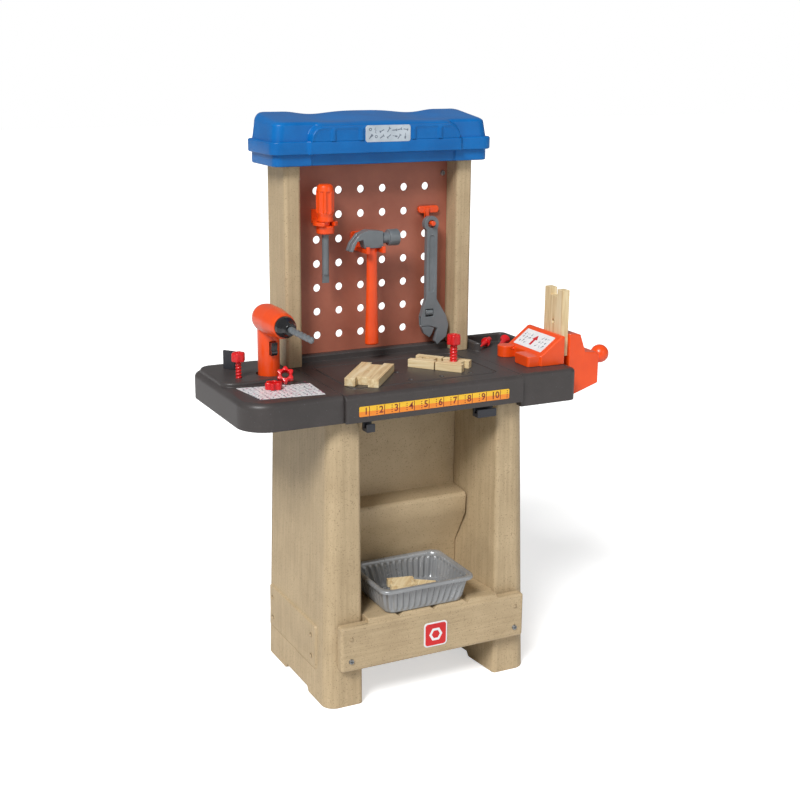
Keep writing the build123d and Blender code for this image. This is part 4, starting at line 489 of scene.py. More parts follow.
# %% [markdown]
# Each node's finish and the radius of its edges, in millimetres, stand in one table. Large
# blow mouldings have the largest radii, and thin sheets and small parts the smallest.
# %% Mouldings
MOULDINGS = {
    "left_side_panel": (tan_upright, 2.0),
    "right_side_panel": (tan_upright, 2.0),
    "back_panel": (tan_plain, 2.0),
    "shelf_and_rail": (tan_level, 1.2),
    "left_post": (tan_upright, 1.0),
    "right_post": (tan_upright, 1.0),
    "centre_counter": (charcoal, 0.8),
    "left_wing": (charcoal, 1.0),
    "right_wing": (charcoal, 1.0),
    "dock_tab": (charcoal_dark, 0.6),
    "left_apron_hook": (charcoal_dark, 0.8),
    "right_apron_hook": (charcoal_dark, 0.8),
    "peg_board": (brown_sheet, 0.4),
    "screwdriver_fork": (orange, 0.8),
    "hammer_hook": (orange, 0.7),
    "wrench_hook": (orange, 1.2),
    "screwdriver_handle": (orange, 0.7),
    "screwdriver_ferrule": (orange, 0.6),
    "screwdriver_blade": (tool_grey, 0.3),
    "hammer_handle": (orange, 0.6),
    "hammer_head": (tool_grey, 1.2),
    "wrench_body": (tool_grey, 0.8),
    "wrench_jaw": (tool_grey, 0.6),
    "wrench_knurl": (tool_grey, 0.4),
    "wrench_pin": (steel, 0.2),
    "drill_left_shell": (orange, 0.5),
    "drill_right_shell": (orange, 0.5),
    "drill_chuck": (black_abs, 0.8),
    "drill_trigger": (black_abs, 0.7),
    "vise_base": (orange, 1.2),
    "vise_jaw": (orange, 1.2),
    "vise_knob": (orange, 0.5),
    "vise_board": (pine_upright, 0.6),
    "flat_board": (pine_left, 0.6),
    "short_board_front": (pine_right, 0.6),
    "short_board_back": (pine_right, 0.6),
    "tray_blocks": (pine_left, 0.6),
    "toy_nail": (red, 0.5),
    "toy_screw": (red, 0.5),
    "front_badge": (vinyl_white, 0.3),
    "ruler_strip": (ruler_vinyl, 0.2),
    "wing_label": (vinyl_white, 0.2),
    "vise_label": (vinyl_white, 0.2),
    "roof_plate": (plate_silver, 0.3),
    "post_screws": (steel, 0.5),
}
SHARP = math.radians(35)
for node, (material, radius) in MOULDINGS.items():
    shape = joined(node)
    edges = [e for e in shape.edges if len(e.link_faces) == 2 and e.calc_face_angle(0) > SHARP]
    bmesh.ops.bevel(shape, geom=edges, offset=radius * MM, segments=2, profile=0.5,
                    affect="EDGES", clamp_overlap=False)
    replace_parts(piece(node + "_moulding", shape, material, node), node)
print("mouldings", len(MOULDINGS))

# the hidden spring keeps its CAD mesh and only gets its metal
frame["nodes"]["trigger_spring"].data.materials.clear()
frame["nodes"]["trigger_spring"].data.materials.append(steel)


# %% [markdown]
# ## Shapes that follow a rule
# A blow moulding, a rolled rim, a thread and a lobed nut are all a stack of rings. One helper
# joins rings into a closed skin, and a second cuts one closed shape out of another. An exact
# boolean is used because both shapes are closed and their walls cross cleanly.
# %% Rings into skins
def lofted(rings, loop=False):
    """Rings of equal length joined into one closed skin."""
    shape = bmesh.new()
    rows = [[shape.verts.new(p) for p in ring] for ring in rings]
    count = len(rings[0])
    pairs = list(zip(rows, rows[1:])) + ([(rows[-1], rows[0])] if loop else [])
    for low, high in pairs:
        for j in range(count):
            k = (j + 1) % count
            shape.faces.new((low[j], low[k], high[k], high[j]))
    if not loop:
        shape.faces.new(rows[0][::-1])
        shape.faces.new(rows[-1])
    return shape


def carved(shape, cutter):
    """A closed shape with another closed shape cut out of it."""
    held = []
    for source in (shape, cutter):
        mesh = bpy.data.meshes.new("held")
        source.to_mesh(mesh)
        source.free()
        held.append(bpy.data.objects.new("held", mesh))
        bpy.context.scene.collection.objects.link(held[-1])
    cut = held[0].modifiers.new("cut", "BOOLEAN")
    cut.operation = "DIFFERENCE"
    cut.solver = "EXACT"
    cut.object = held[1]
    kept = bmesh.new()
    kept.from_mesh(baked(held[0]))
    for obj in held:
        bpy.data.objects.remove(obj)
    return kept


def eased(t):
    """A step from 0 to 1 with soft ends."""
    t = max(0.0, min(1.0, t))
    return t * t * (3 - 2 * t)


print("half of an eased step is", eased(0.5))


# %% [markdown]
# The tray, the badge and the roof's hollow are rounded rectangles. Walking round the outline
# by length, four straights and four quarter circles, spaces the points evenly, which ribs
# need. Each point also gets the direction that faces out of the wall.
# %% Rounded rectangle
def round_box(middle, half_x, half_y, corner, z, count):
    """Points and outward directions evenly round a rounded rectangle, from its front left."""
    straight = (2 * (half_x - corner), 2 * (half_y - corner))
    quarter = math.pi / 2 * corner
    legs = [straight[0], quarter, straight[1], quarter] * 2
    total = sum(legs)
    found = []
    for index in range(count):
        run = total * index / count
        leg = 0
        while run > legs[leg] and leg < len(legs) - 1:
            run -= legs[leg]
            leg += 1
        side = leg // 2
        turn = math.pi / 2 * side
        if leg % 2:
            turn += run / corner
        out = Vector((math.sin(turn), -math.cos(turn), 0))
        signs = ((-1, -1), (1, -1), (1, 1), (-1, 1))
        sx, sy = signs[(side + leg % 2) % 4]
        centre = Vector((middle[0] + sx * (half_x - corner), middle[1] + sy * (half_y - corner), z))
        spot = centre + out * corner
        if leg % 2 == 0:
            spot += Vector((-out.y, out.x, 0)) * run
        found.append((spot, out))
    return found


print("a rounded rectangle's first point", round_box((0, 0), 2, 1, 0.5, 0, 8)[0][0][:])


# %% [markdown]
# ## The roof
# The real roof is one blow moulding: a lip runs round it, the middle of the front swells into
# an arch with four upright ribs, and the top rises to the back in slow waves. It is a stack of
# rounded rings whose front points are pushed out where the arch, the ribs and the lip are. All
# numbers are millimetres: x from the roof's middle, y from its front and z from its foot.
# %% Roof surfaces
roof_low, roof_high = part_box("roof_canopy")
plate_low, plate_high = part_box("roof_plate")
ROOF_HALF = (roof_high.x - roof_low.x) / 2 / MM
ROOF_DEEP = (roof_high.y - roof_low.y) / MM
ROOF_TALL = (roof_high.z - roof_low.z) / MM
BROW_DEPTH, CREST_DEPTH, TOP_RISE, BROW_SLOPE = 17, 107, 12, 0.3
BACK_RUN, BACK_FALL = 11, 4
WAVE_REACH, WAVE_BIAS, WAVE_FALL, WAVE_FADE = 136, 1.6, 4.5, 60
END_START, END_RUN, END_FALL = 172, 20, 2.0
ARCH_FACE = (plate_high.y - roof_low.y) / MM
ARCH_HALF, ARCH_TOP, ARCH_CORNER, ARCH_RUN = 134.0, 64.0, 24.0, 3.5
RIDGE_PROUD, RIDGE_IN, RIDGE_WIDE = 1.0, 5.5, 2.2
ROOF_RIBS = (-94.0, -46.0, 46.0, 94.0)
ROOF_RIB_PROUD, ROOF_RIB_HALF, ROOF_RIB_RUN = 1.9, 4.4, 1.8
ROOF_RIB_TOP, ROOF_RIB_FADE = 58, 3
SKIRT_STEP, SKIRT_HALF, SKIRT_RUN = 3.5, 128, 1.5
LIP_STEP, LIP_HALF, LIP_RUN = 3.8, 136, 2.5


def roof_top(x, y):
    """Height of the roof's top: it rises to the back and waves along its length."""
    if y < BROW_DEPTH:
        height = ROOF_TALL - TOP_RISE - (BROW_DEPTH - y) * BROW_SLOPE
    elif y < CREST_DEPTH:
        height = ROOF_TALL - TOP_RISE + (y - BROW_DEPTH) / (CREST_DEPTH - BROW_DEPTH) * TOP_RISE
    else:
        height = ROOF_TALL - (y - CREST_DEPTH) / BACK_RUN * BACK_FALL
    wave = math.sin(math.pi * min(1.0, (abs(x) / WAVE_REACH) ** WAVE_BIAS)) ** 2
    end = END_FALL * eased((abs(x) - END_START) / END_RUN)
    return height - WAVE_FALL * wave * eased(y / WAVE_FADE) - end


def roof_front(kind, x, z, y):
    """Depth of the front at one place, with the lip, the arch and its ribs."""
    if kind == "skirt":
        return y + SKIRT_STEP * eased((SKIRT_HALF - abs(x)) / SKIRT_RUN)
    if kind == "lip":
        return y - LIP_STEP * eased((LIP_HALF - abs(x)) / LIP_RUN)
    over_x = abs(x) - (ARCH_HALF - ARCH_CORNER)
    over_z = abs(z - ARCH_TOP / 2) - (ARCH_TOP / 2 - ARCH_CORNER)
    outside = math.hypot(max(over_x, 0), max(over_z, 0))
    edge = outside + min(max(over_x, over_z), 0) - ARCH_CORNER
    ridge = RIDGE_PROUD * math.exp(-(((-edge - RIDGE_IN) / RIDGE_WIDE) ** 2)) if edge < 0 else 0.0
    rib = max(ROOF_RIB_PROUD * eased((ROOF_RIB_HALF - abs(x - place)) / ROOF_RIB_RUN)
              for place in ROOF_RIBS)
    rib *= eased((ROOF_RIB_TOP - z) / ROOF_RIB_FADE)
    return y + (ARCH_FACE - y) * eased(-edge / ARCH_RUN) - ridge - rib


print("roof top at the middle", round(roof_top(0, ROOF_DEEP / 2), 1), "mm")

# %% [markdown]
# A ring has many points along its front, where the ribs need them, and few round its corners
# and back. Every ring has the same number in the same order, so the rings join face to face.
# %% Roof rings
FRONT_STEPS, CORNER_STEPS, SIDE_STEPS, BACK_STEPS = 190, 7, 6, 48


def roof_ring(z, half, front, back, corner, kind):
    """One ring of the roof."""
    spots = []
    for i in range(FRONT_STEPS + 1):
        x = (2 * i / FRONT_STEPS - 1) * (half - corner)
        spots.append((x, roof_front(kind, x, z, front)))
    corners = ((half - corner, front + corner, -90), (half - corner, back - corner, 0),
               (corner - half, back - corner, 90), (corner - half, front + corner, 180))
    runs = (SIDE_STEPS, BACK_STEPS, SIDE_STEPS, 0)
    for index, ((cx, cy, start), steps) in enumerate(zip(corners, runs)):
        for i in range(1, CORNER_STEPS + 1):
            turn = math.radians(start + 90 * i / CORNER_STEPS)
            spots.append((cx + corner * math.cos(turn), cy + corner * math.sin(turn)))
        if steps:
            next_x, next_y, _ = corners[index + 1]
            turn = math.radians(start + 90)
            there = (next_x + corner * math.cos(turn), next_y + corner * math.sin(turn))
            here = spots[-1]
            for i in range(1, steps + 1):
                part = i / (steps + 1)
                spots.append((here[0] + (there[0] - here[0]) * part,
                              here[1] + (there[1] - here[1]) * part))
    return [(x, y, z) for x, y in spots[:-1]]


# height, half width, front, back, corner and kind of the skirt and the lip
SKIRT_AND_LIP = (
    (0, 188.5, 12.5, 117.5, 13, "skirt"),
    (1.5, 190, 11, 119, 14, "skirt"),
    (17.6, 190, 11, 119, 14, "skirt"),
    (18, 194.5, 6.5, 121.5, 17, "lip"),
    (19.5, ROOF_HALF, 5, ROOF_DEEP, 18, "lip"),
    (36, ROOF_HALF, 5, ROOF_DEEP, 18, "lip"),
    (38, 194.6, 6.4, 121.6, 17, "lip"),
)
CAP_LOW, CAP_HIGH, CAP_STEPS = 38.4, 62, 17
rings = [roof_ring(*level) for level in SKIRT_AND_LIP]
for i in range(CAP_STEPS):
    part = i / (CAP_STEPS - 1)
    rings.append(roof_ring(CAP_LOW + (CAP_HIGH - CAP_LOW) * part, 190 - 3 * part,
                           11 + 3 * part, 118 - 2 * part, 16, "cap"))
print("roof rings", len(rings), "of", len(rings[0]), "points")

# %% [markdown]
# The last ring is carried over the brow in a quarter circle, and then drawn in towards the
# middle in even shares, each point at the height that the top has there.
# %% Roof top and skin
TOP_ROUND, BROW_HALF, BROW_DEEP = 8.0, 187, 52
ROUND_STEPS = 6
SHARES = (0.96, 0.9, 0.83, 0.76, 0.69, 0.62, 0.55, 0.48, 0.41, 0.34, 0.27, 0.2, 0.13, 0.06, 0.01)
mid_deep = ROOF_DEEP / 2
brow = rings[-1]
for i in range(1, ROUND_STEPS + 1):
    turn = math.radians(90 / ROUND_STEPS * i)
    ring = []
    for x, y, z in brow:
        pull = TOP_ROUND * (1 - math.cos(turn))
        px = x * (1 - pull / BROW_HALF)
        py = mid_deep + (y - mid_deep) * (1 - pull / BROW_DEEP)
        ring.append((px, py, z + (roof_top(px, py) - z) * math.sin(turn)))
    rings.append(ring)
rim_of_top = rings[-1]
for share in SHARES:
    ring = []
    for x, y, _ in rim_of_top:
        px, py = x * share, mid_deep + (y - mid_deep) * share
        ring.append((px, py, roof_top(px, py)))
    rings.append(ring)
roof_mid = (roof_low.x + roof_high.x) / 2
roof_skin = lofted([[Vector((roof_mid + x * MM, roof_low.y + y * MM, roof_low.z + z * MM))
                     for x, y, z in ring] for ring in rings])
print("roof skin faces", len(roof_skin.faces))

# %% [markdown]
# The roof is hollow, and two sockets in it take the posts. The hollow's corners are rounded
# too: a square corner would break through the rounded one outside it.
# %% Hollow roof
HOLLOW_HALF, HOLLOW_HALF_DEEP, HOLLOW_CORNER, HOLLOW_TALL = 185, 49, 14.0, 59.0
HOLLOW_MIDDLE, HOLLOW_POINTS, CUT_PAST = 65, 80, 0.01
SOCKET_GAP, SOCKET_ROOM, SOCKET_PAST = 2, 0.05, 10
hollow_rings = []
for rise in (-CUT_PAST, HOLLOW_TALL):
    walls = round_box((roof_mid, roof_low.y + HOLLOW_MIDDLE * MM), HOLLOW_HALF * MM,
                      HOLLOW_HALF_DEEP * MM, HOLLOW_CORNER * MM, roof_low.z + rise * MM,
                      HOLLOW_POINTS)
    hollow_rings.append([wall for wall, _ in walls])
roof_cut = carved(roof_skin, lofted(hollow_rings))
for post in ("left_post", "right_post"):
    low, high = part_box(post)
    west, east = low.x - SOCKET_GAP * MM, high.x + SOCKET_GAP * MM
    front, back = low.y - SOCKET_GAP * MM, high.y + SOCKET_GAP * MM
    top = high.z + SOCKET_ROOM * MM
    room = bmesh.new()
    size = Vector((east - west, back - front, top - roof_low.z + SOCKET_PAST * MM))
    centre = Vector(((west + east) / 2, (front + back) / 2, top - size.z / 2))
    bmesh.ops.create_cube(room, size=1.0,
                          matrix=Matrix.Translation(centre) @ Matrix.Diagonal(size).to_4x4())
    roof_cut = carved(roof_cut, room)
roof = piece("roof_canopy_moulding", roof_cut, roof_blue, "roof_canopy", angle=50)
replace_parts(roof, "roof_canopy")
print("roof faces", len(roof.data.polygons))

# %% [markdown]
# ## The storage tray
# A thin tray is stiffened by upright ribs pressed into its wall and by a rolled rim. The same
# ring of points is pushed in and out by a cosine, on the outside and the inside alike, so the
# wall keeps its thickness. Heights and insets are millimetres from the foot and the rim.
# %% Ribbed tray
tray_low, tray_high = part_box("storage_tray")
tray_mid = ((tray_low.x + tray_high.x) / 2, (tray_low.y + tray_high.y) / 2)
tray_half = ((tray_high.x - tray_low.x) / 2, (tray_high.y - tray_low.y) / 2)
TRAY_TALL = (tray_high.z - tray_low.z) / MM
TRAY_RIBS = 46
TRAY_POINTS = TRAY_RIBS * 10
RIB_PROUD = 1.7
RIB_FOOT, RIB_TOP = (3, 5), (38.5, 3)
FOOT_CORNER, CORNER_GROWTH = 14, 4
FOOT_INSET, FLARE = 16, 10
TRAY_WALL, TRAY_FLOOR = 2.2, 2.2


def tray_ring(z, inset, ribbed=True):
    """One ring of the tray's wall, with its ribs."""
    corner = (FOOT_CORNER + CORNER_GROWTH * z / TRAY_TALL) * MM
    spots = round_box(tray_mid, tray_half[0] - inset * MM, tray_half[1] - inset * MM, corner,
                      tray_low.z + z * MM, TRAY_POINTS)
    fade = eased((z - RIB_FOOT[0]) / RIB_FOOT[1]) * eased((RIB_TOP[0] - z) / RIB_TOP[1])
    proud = RIB_PROUD * MM * (fade if ribbed else 0)
    return [p + out * proud * math.cos(2 * math.pi * TRAY_RIBS * i / TRAY_POINTS)
            for i, (p, out) in enumerate(spots)]


def wall_inset(z, extra):
    """How far the flared wall stands in from the rim at one height."""
    return FOOT_INSET - FLARE * z / TRAY_TALL + extra


OUTER_HEIGHTS = (1.2, 3, 4.5, 6, 8, 14, 20, 26, 32, 35.5, 37, 38.5, 40)
RIM_ROLL = ((41.0, 5.6), (41.2, 3.0), (40.0, 1.2), (39.8, 0.4), (40.8, 0.0), (43.4, 0.0),
            (44.9, 0.8), (TRAY_TALL, 2.4), (TRAY_TALL, 5.0), (45.0, 7.2), (43.4, 8.4))
tray_rings = [tray_ring(0, wall_inset(0, 1.5))]
tray_rings += [tray_ring(z, wall_inset(z, 0)) for z in OUTER_HEIGHTS]
tray_rings += [tray_ring(z, inset, False) for z, inset in RIM_ROLL]
tray_rings += [tray_ring(z, wall_inset(z, TRAY_WALL)) for z in OUTER_HEIGHTS[::-1] if z > 2.4]
tray_rings += [tray_ring(TRAY_FLOOR, wall_inset(TRAY_FLOOR, 3.4), False)]
tray = piece("storage_tray_pressing", lofted(tray_rings), tray_grey, "storage_tray", angle=60)
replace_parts(tray, "storage_tray")
print("tray faces", len(tray.data.polygons))

# %% [markdown]
# ## Drill bit, bolts and nuts
# A twist bit is a two-fluted section that turns as it goes, from a plain shank to a point. A
# screw modifier could twist it as well, but rings can also fade the flutes in and the tip out.
# %% Twisted bit
bit_low, bit_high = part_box("drill_bit")
bit_axis = ((bit_low.x + bit_high.x) / 2, (bit_low.z + bit_high.z) / 2)
bit_r = (bit_high.x - bit_low.x) / 2
BIT_TURNS, BIT_STEPS, BIT_POINTS = 3.2, 90, 32
FLUTE_DEEP, FLUTE_SHARP, FLUTE_START = 0.36, 1.5, 0.06
TIP_STEEP, TIP_FLAT = 11, 0.04
bit_rings = []
for i in range(BIT_STEPS + 1):
    part = i / BIT_STEPS
    y = bit_high.y + (bit_low.y - bit_high.y) * part
    taper = min(1.0, (1 - part) * TIP_STEEP + TIP_FLAT)
    fade = eased((part - FLUTE_START) / FLUTE_START)
    ring = []
    for j in range(BIT_POINTS):
        turn = 2 * math.pi * j / BIT_POINTS
        twist = max(0.0, math.cos(2 * (turn - BIT_TURNS * 2 * math.pi * part)))
        reach = bit_r * (1 - FLUTE_DEEP * twist ** FLUTE_SHARP * fade) * taper
        ring.append((bit_axis[0] + reach * math.cos(turn), y,
                     bit_axis[1] + reach * math.sin(turn)))
    bit_rings.append(ring)
bit = piece("drill_bit_twisted", lofted(bit_rings), tool_grey, "drill_bit", angle=50)
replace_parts(bit, "drill_bit")
print("bit faces", len(bit.data.polygons))


# %% [markdown]
# A toy bolt has a coarse rounded thread that small hands can turn. Its radius follows a cosine
# that climbs with the turn, so no thread profile has to be swept, and its head has six lobes
# and a dimple.
# %% Threaded bolts
BOLT_POINTS, THREAD_STEP = 36, 0.5
BOLT_LOBE = 0.08


def bolt(node, head_tall, shank_r, head_r, pitch=5.0, depth=0.9):
    """A toy bolt that stands upright in its node's box."""
    low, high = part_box(node)
    cx, cy = (low.x + high.x) / 2, (low.y + high.y) / 2
    under = high.z - head_tall * MM
    turns = [2 * math.pi * j / BOLT_POINTS for j in range(BOLT_POINTS)]
    steps = int((under - low.z) / (THREAD_STEP * MM))
    rings = []
    for i in range(steps + 1):
        z = low.z + (under - low.z) * i / steps
        rings.append([])
        for turn in turns:
            thread = 0.5 - 0.5 * math.cos((z / MM) / pitch * 2 * math.pi - turn)
            reach = (shank_r - depth * thread) * MM
            rings[-1].append((cx + reach * math.cos(turn), cy + reach * math.sin(turn), z))
    # height over the shank and share of the head's radius
    profile = ((0, 0.86), (0, 0.94), (1.2, 1.0), (head_tall - 2.5, 1.0), (head_tall - 0.8, 0.93),
               (head_tall, 0.8), (head_tall, 0.5), (head_tall - 2.0, 0.42))
    for rise, share in profile:
        ring = []
        for turn in turns:
            reach = head_r * share * (1 - BOLT_LOBE + BOLT_LOBE * math.cos(6 * turn)) * MM
            ring.append((cx + reach * math.cos(turn), cy + reach * math.sin(turn),
                         under + rise * MM))
        rings.append(ring)
    made = piece(node + "_threaded", lofted(rings), red, node, angle=45)
    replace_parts(made, node)
    return made


bolts = [bolt("board_bolt", 16, 6.3, 12), bolt("dock_bolt", 14, 4.8, 11)]
print("bolts", [len(b.data.polygons) for b in bolts])


# %% [markdown]
# A toy nut is a ring with six round lobes. Its section is a closed loop of rings, so the hole
# and the outside are one skin with no boolean.
# %% Lobed nuts
NUT_POINTS = 72


def nut(node, axis, half_thick=5.5, hole=6.0, reach=12.0, lobe=1.9):
    """A toy nut with six round lobes, whose hole looks along an axis."""
    low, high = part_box(node)
    turned = Vector(axis).to_track_quat("Z", "X").to_matrix().to_4x4()
    put = Matrix.Translation((low + high) / 2) @ turned
    # radius in the hole, or how far in from the lobes, and height
    profile = ((hole, half_thick - 1), (hole, 1 - half_thick), (hole + 1, -half_thick),
               (-1.6, -half_thick), (-0.5, 0.5 - half_thick), (0, 1.6 - half_thick),
               (0, half_thick - 1.6), (-0.5, half_thick - 0.5), (-1.6, half_thick),
               (hole + 1, half_thick))
    rings = []
    for inset, z in profile:
        ring = []
        for j in range(NUT_POINTS):
            turn = 2 * math.pi * j / NUT_POINTS
            wide = inset if inset > 0 else reach + lobe * math.cos(6 * turn) + inset
            ring.append(put @ Vector((wide * MM * math.cos(turn), wide * MM * math.sin(turn),
                                      z * MM)))
        rings.append(ring)
    made = piece(node + "_lobed", lofted(rings, loop=True), red, node, angle=45)
    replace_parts(made, node)
    return made


nuts = [nut("loose_nut_flat", (0, 0, 1)), nut("loose_nut_leaning", (-0.3, -0.75, 0.6))]
print("nuts", [len(n.data.polygons) for n in nuts])


# %% [markdown]
# ## Screw heads
# The same pan-head screw holds the rail and the peg board. Geometry Nodes build it once, with
# a cross recess cut by a boolean, and put it on every place. Its sizes are named inputs, so a
# second length of screw needs no second tree.
# %% Screw by Geometry Nodes
def socket(tree, name, kind, default=None, out=False):
    """A named input or output of a node group."""
    made = tree.interface.new_socket(name=name, in_out="OUTPUT" if out else "INPUT",
                                     socket_type=kind)
    if default is not None:
        made.default_value = default
    return made


HEAD_TALL, HEAD_TAPER, RECESS_SPAN = 2.6, 0.78, 1.15
SCREW_SIZES = (("Head radius", 4.5), ("Head height", HEAD_TALL), ("Shank radius", 2.0),
               ("Shank length", 8.0), ("Recess width", 1.3), ("Recess depth", 1.4))
tree = bpy.data.node_groups.new("pan_head_screws", "GeometryNodeTree")
screw_tree = tree
socket(tree, "Geometry", "NodeSocketGeometry", out=True)
socket(tree, "Places", "NodeSocketGeometry")
screw_inputs = {n: socket(tree, n, "NodeSocketFloat", v * MM) for n, v in SCREW_SIZES}
ask = add(tree, "NodeGroupInput").outputs

crown_top = add(tree, "ShaderNodeMath", {0: ask["Head radius"], 1: HEAD_TAPER},
                operation="MULTIPLY")
crown = add(tree, "GeometryNodeMeshCone",
            {"Vertices": 28, "Radius Top": crown_top.outputs["Value"],
             "Radius Bottom": ask["Head radius"], "Depth": ask["Head height"]})
shank = add(tree, "GeometryNodeMeshCylinder",
            {"Vertices": 16, "Radius": ask["Shank radius"], "Depth": ask["Shank length"]})
half_down = add(tree, "ShaderNodeMath", {0: ask["Shank length"], 1: -0.5}, operation="MULTIPLY")
down = add(tree, "ShaderNodeCombineXYZ", {"Z": half_down.outputs["Value"]})
shank_low = add(tree, "GeometryNodeTransform", {"Geometry": shank.outputs["Mesh"],
                                                "Translation": down.outputs["Vector"]})

recess_long = add(tree, "ShaderNodeMath", {0: ask["Head radius"], 1: RECESS_SPAN},
                  operation="MULTIPLY")
recess_tall = add(tree, "ShaderNodeMath", {0: ask["Recess depth"], 1: 2.0}, operation="MULTIPLY")
to_face = add(tree, "ShaderNodeCombineXYZ", {"Z": ask["Head height"]})
recessed = add(tree, "GeometryNodeMeshBoolean", {"Mesh 1": crown.outputs["Mesh"]},
               operation="DIFFERENCE")
long, wide = recess_long.outputs["Value"], ask["Recess width"]
for x, y in ((wide, long), (long, wide)):
    size = add(tree, "ShaderNodeCombineXYZ", {"X": x, "Y": y, "Z": recess_tall.outputs["Value"]})
    bar = add(tree, "GeometryNodeMeshCube", {"Size": size.outputs["Vector"]})
    slot = add(tree, "GeometryNodeTransform", {"Geometry": bar.outputs["Mesh"],
                                               "Translation": to_face.outputs["Vector"]})
    tree.links.new(slot.outputs["Geometry"], recessed.inputs["Mesh 2"])
whole = add(tree, "GeometryNodeJoinGeometry")
for link in (recessed.outputs["Mesh"], shank_low.outputs["Geometry"]):
    tree.links.new(link, whole.inputs["Geometry"])

faced = add(tree, "GeometryNodeTransform", {"Geometry": whole.outputs["Geometry"],
                                            "Rotation": (math.radians(90), 0, 0)})
placed = add(tree, "GeometryNodeInstanceOnPoints",
             {"Points": ask["Places"], "Instance": faced.outputs["Geometry"]})
real = add(tree, "GeometryNodeRealizeInstances", {"Geometry": placed.outputs["Instances"]})
dressed = add(tree, "GeometryNodeSetMaterial",
              {"Geometry": real.outputs["Geometry"], "Material": steel})
add(tree, "NodeGroupOutput", {"Geometry": dressed.outputs["Geometry"]})
print("screw tree nodes", len(tree.nodes))


# %% [markdown]
# The places are read from the CAD node: each separate island of its mesh is one screw. The
# nodes run on a mesh that has only those points, and the result is kept as a plain mesh,
# because the export drops instances and modifiers.
# %% Screws in their places
def islands(node):
    """The separate solids of a CAD node's mesh, as lists of corners."""
    shape = bmesh.new()
    shape.from_mesh(frame["nodes"][node].data)
    bmesh.ops.remove_doubles(shape, verts=shape.verts[:], dist=WELD)
    left = set(shape.verts)
    found = []
    while left:
        heap = [left.pop()]
        group = []
        while heap:
            vert = heap.pop()
            group.append(vert.co.copy())
            for edge in vert.link_edges:
                other = edge.other_vert(vert)
                if other in left:
                    left.remove(other)
                    heap.append(other)
        found.append(group)
    shape.free()
    return found


def grown(name, tree, points, inputs, values, material, node):
    """A mesh of points run through a node group and kept as a plain mesh."""
    mesh = bpy.data.meshes.new(name)
    mesh.from_pydata([tuple(p) for p in points], [], [])
    made = bpy.data.objects.new(name, mesh)
    bpy.context.scene.collection.objects.link(made)
    nodes = made.modifiers.new("nodes", "NODES")
    nodes.node_group = tree
    for label, value in values.items():
        nodes[inputs[label].identifier] = value
    plain = baked(made)
    made.modifiers.clear()
    plain.materials.clear()
    plain.materials.append(material)
    made.data = plain
    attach(made, BODY_OF[node])
    return made


for node, shank_long in (("rail_screws", 12.0), ("board_screws", 10.0)):
    heads = []
    for group in islands(node):
        front = min(p.y for p in group)
        xs, zs = [p.x for p in group], [p.z for p in group]
        heads.append(((min(xs) + max(xs)) / 2, front + HEAD_TALL * MM, (min(zs) + max(zs)) / 2))
    heads.sort()  # a set has no fixed order, and the result has to be the same on every run
    made = grown(node + "_pan_heads", screw_tree, heads, screw_inputs,
                 {"Shank length": shank_long * MM}, steel, node)
    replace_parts(made, node)
    print(node, len(heads), "screws", len(made.data.polygons), "faces")

# %% [markdown]
# ## Ruler
# Ten inch marks cross the ruler, each after its number, and a column of dots stands at each
# half inch. The marks and dots are Geometry Nodes on a row of points, so their spacing is one
# named input, and the whole ruler grows from its first mark.
# %% Ruler marks by Geometry Nodes
INCH = 25.4 * MM
INCHES, DOTS = 10, 4
MARK_SIZES = (("Pitch", INCH), ("Width", 1.1 * MM), ("Height", 15.2 * MM), ("Film", 0.12 * MM),
              ("Dot pitch", 3.4 * MM), ("Dot size", 1.6 * MM))
tree = bpy.data.node_groups.new("ruler_marks", "GeometryNodeTree")
socket(tree, "Geometry", "NodeSocketGeometry", out=True)
socket(tree, "Starts", "NodeSocketGeometry")
mark_inputs = {n: socket(tree, n, "NodeSocketFloat", v) for n, v in MARK_SIZES}
ask = add(tree, "NodeGroupInput").outputs
step = add(tree, "ShaderNodeCombineXYZ", {"X": ask["Pitch"]})
row = add(tree, "GeometryNodeMeshLine", {"Count": INCHES, "Offset": step.outputs["Vector"]})
bar = add(tree, "ShaderNodeCombineXYZ",
          {"X": ask["Width"], "Y": ask["Film"], "Z": ask["Height"]})
line = add(tree, "GeometryNodeMeshCube", {"Size": bar.outputs["Vector"]})
lines = add(tree, "GeometryNodeInstanceOnPoints",
            {"Points": row.outputs["Mesh"], "Instance": line.outputs["Mesh"]})

patch = add(tree, "ShaderNodeCombineXYZ",
            {"X": ask["Dot size"], "Y": ask["Film"], "Z": ask["Dot size"]})
dot = add(tree, "GeometryNodeMeshCube", {"Size": patch.outputs["Vector"]})
rise = add(tree, "ShaderNodeCombineXYZ", {"Z": ask["Dot pitch"]})
column = add(tree, "GeometryNodeMeshLine", {"Count": DOTS, "Offset": rise.outputs["Vector"]})
dots = add(tree, "GeometryNodeInstanceOnPoints",
           {"Points": column.outputs["Mesh"], "Instance": dot.outputs["Mesh"]})
half_inch = add(tree, "ShaderNodeMath", {0: ask["Pitch"], 1: 0.5}, operation="MULTIPLY")
half_column = add(tree, "ShaderNodeMath", {0: ask["Dot pitch"], 1: (1 - DOTS) / 2},
                  operation="MULTIPLY")
aside = add(tree, "ShaderNodeCombineXYZ",
            {"X": half_inch.outputs["Value"], "Z": half_column.outputs["Value"]})
lifted = add(tree, "GeometryNodeTransform", {"Geometry": dots.outputs["Instances"],
                                             "Translation": aside.outputs["Vector"]})
columns = add(tree, "GeometryNodeInstanceOnPoints",
              {"Points": row.outputs["Mesh"], "Instance": lifted.outputs["Geometry"]})

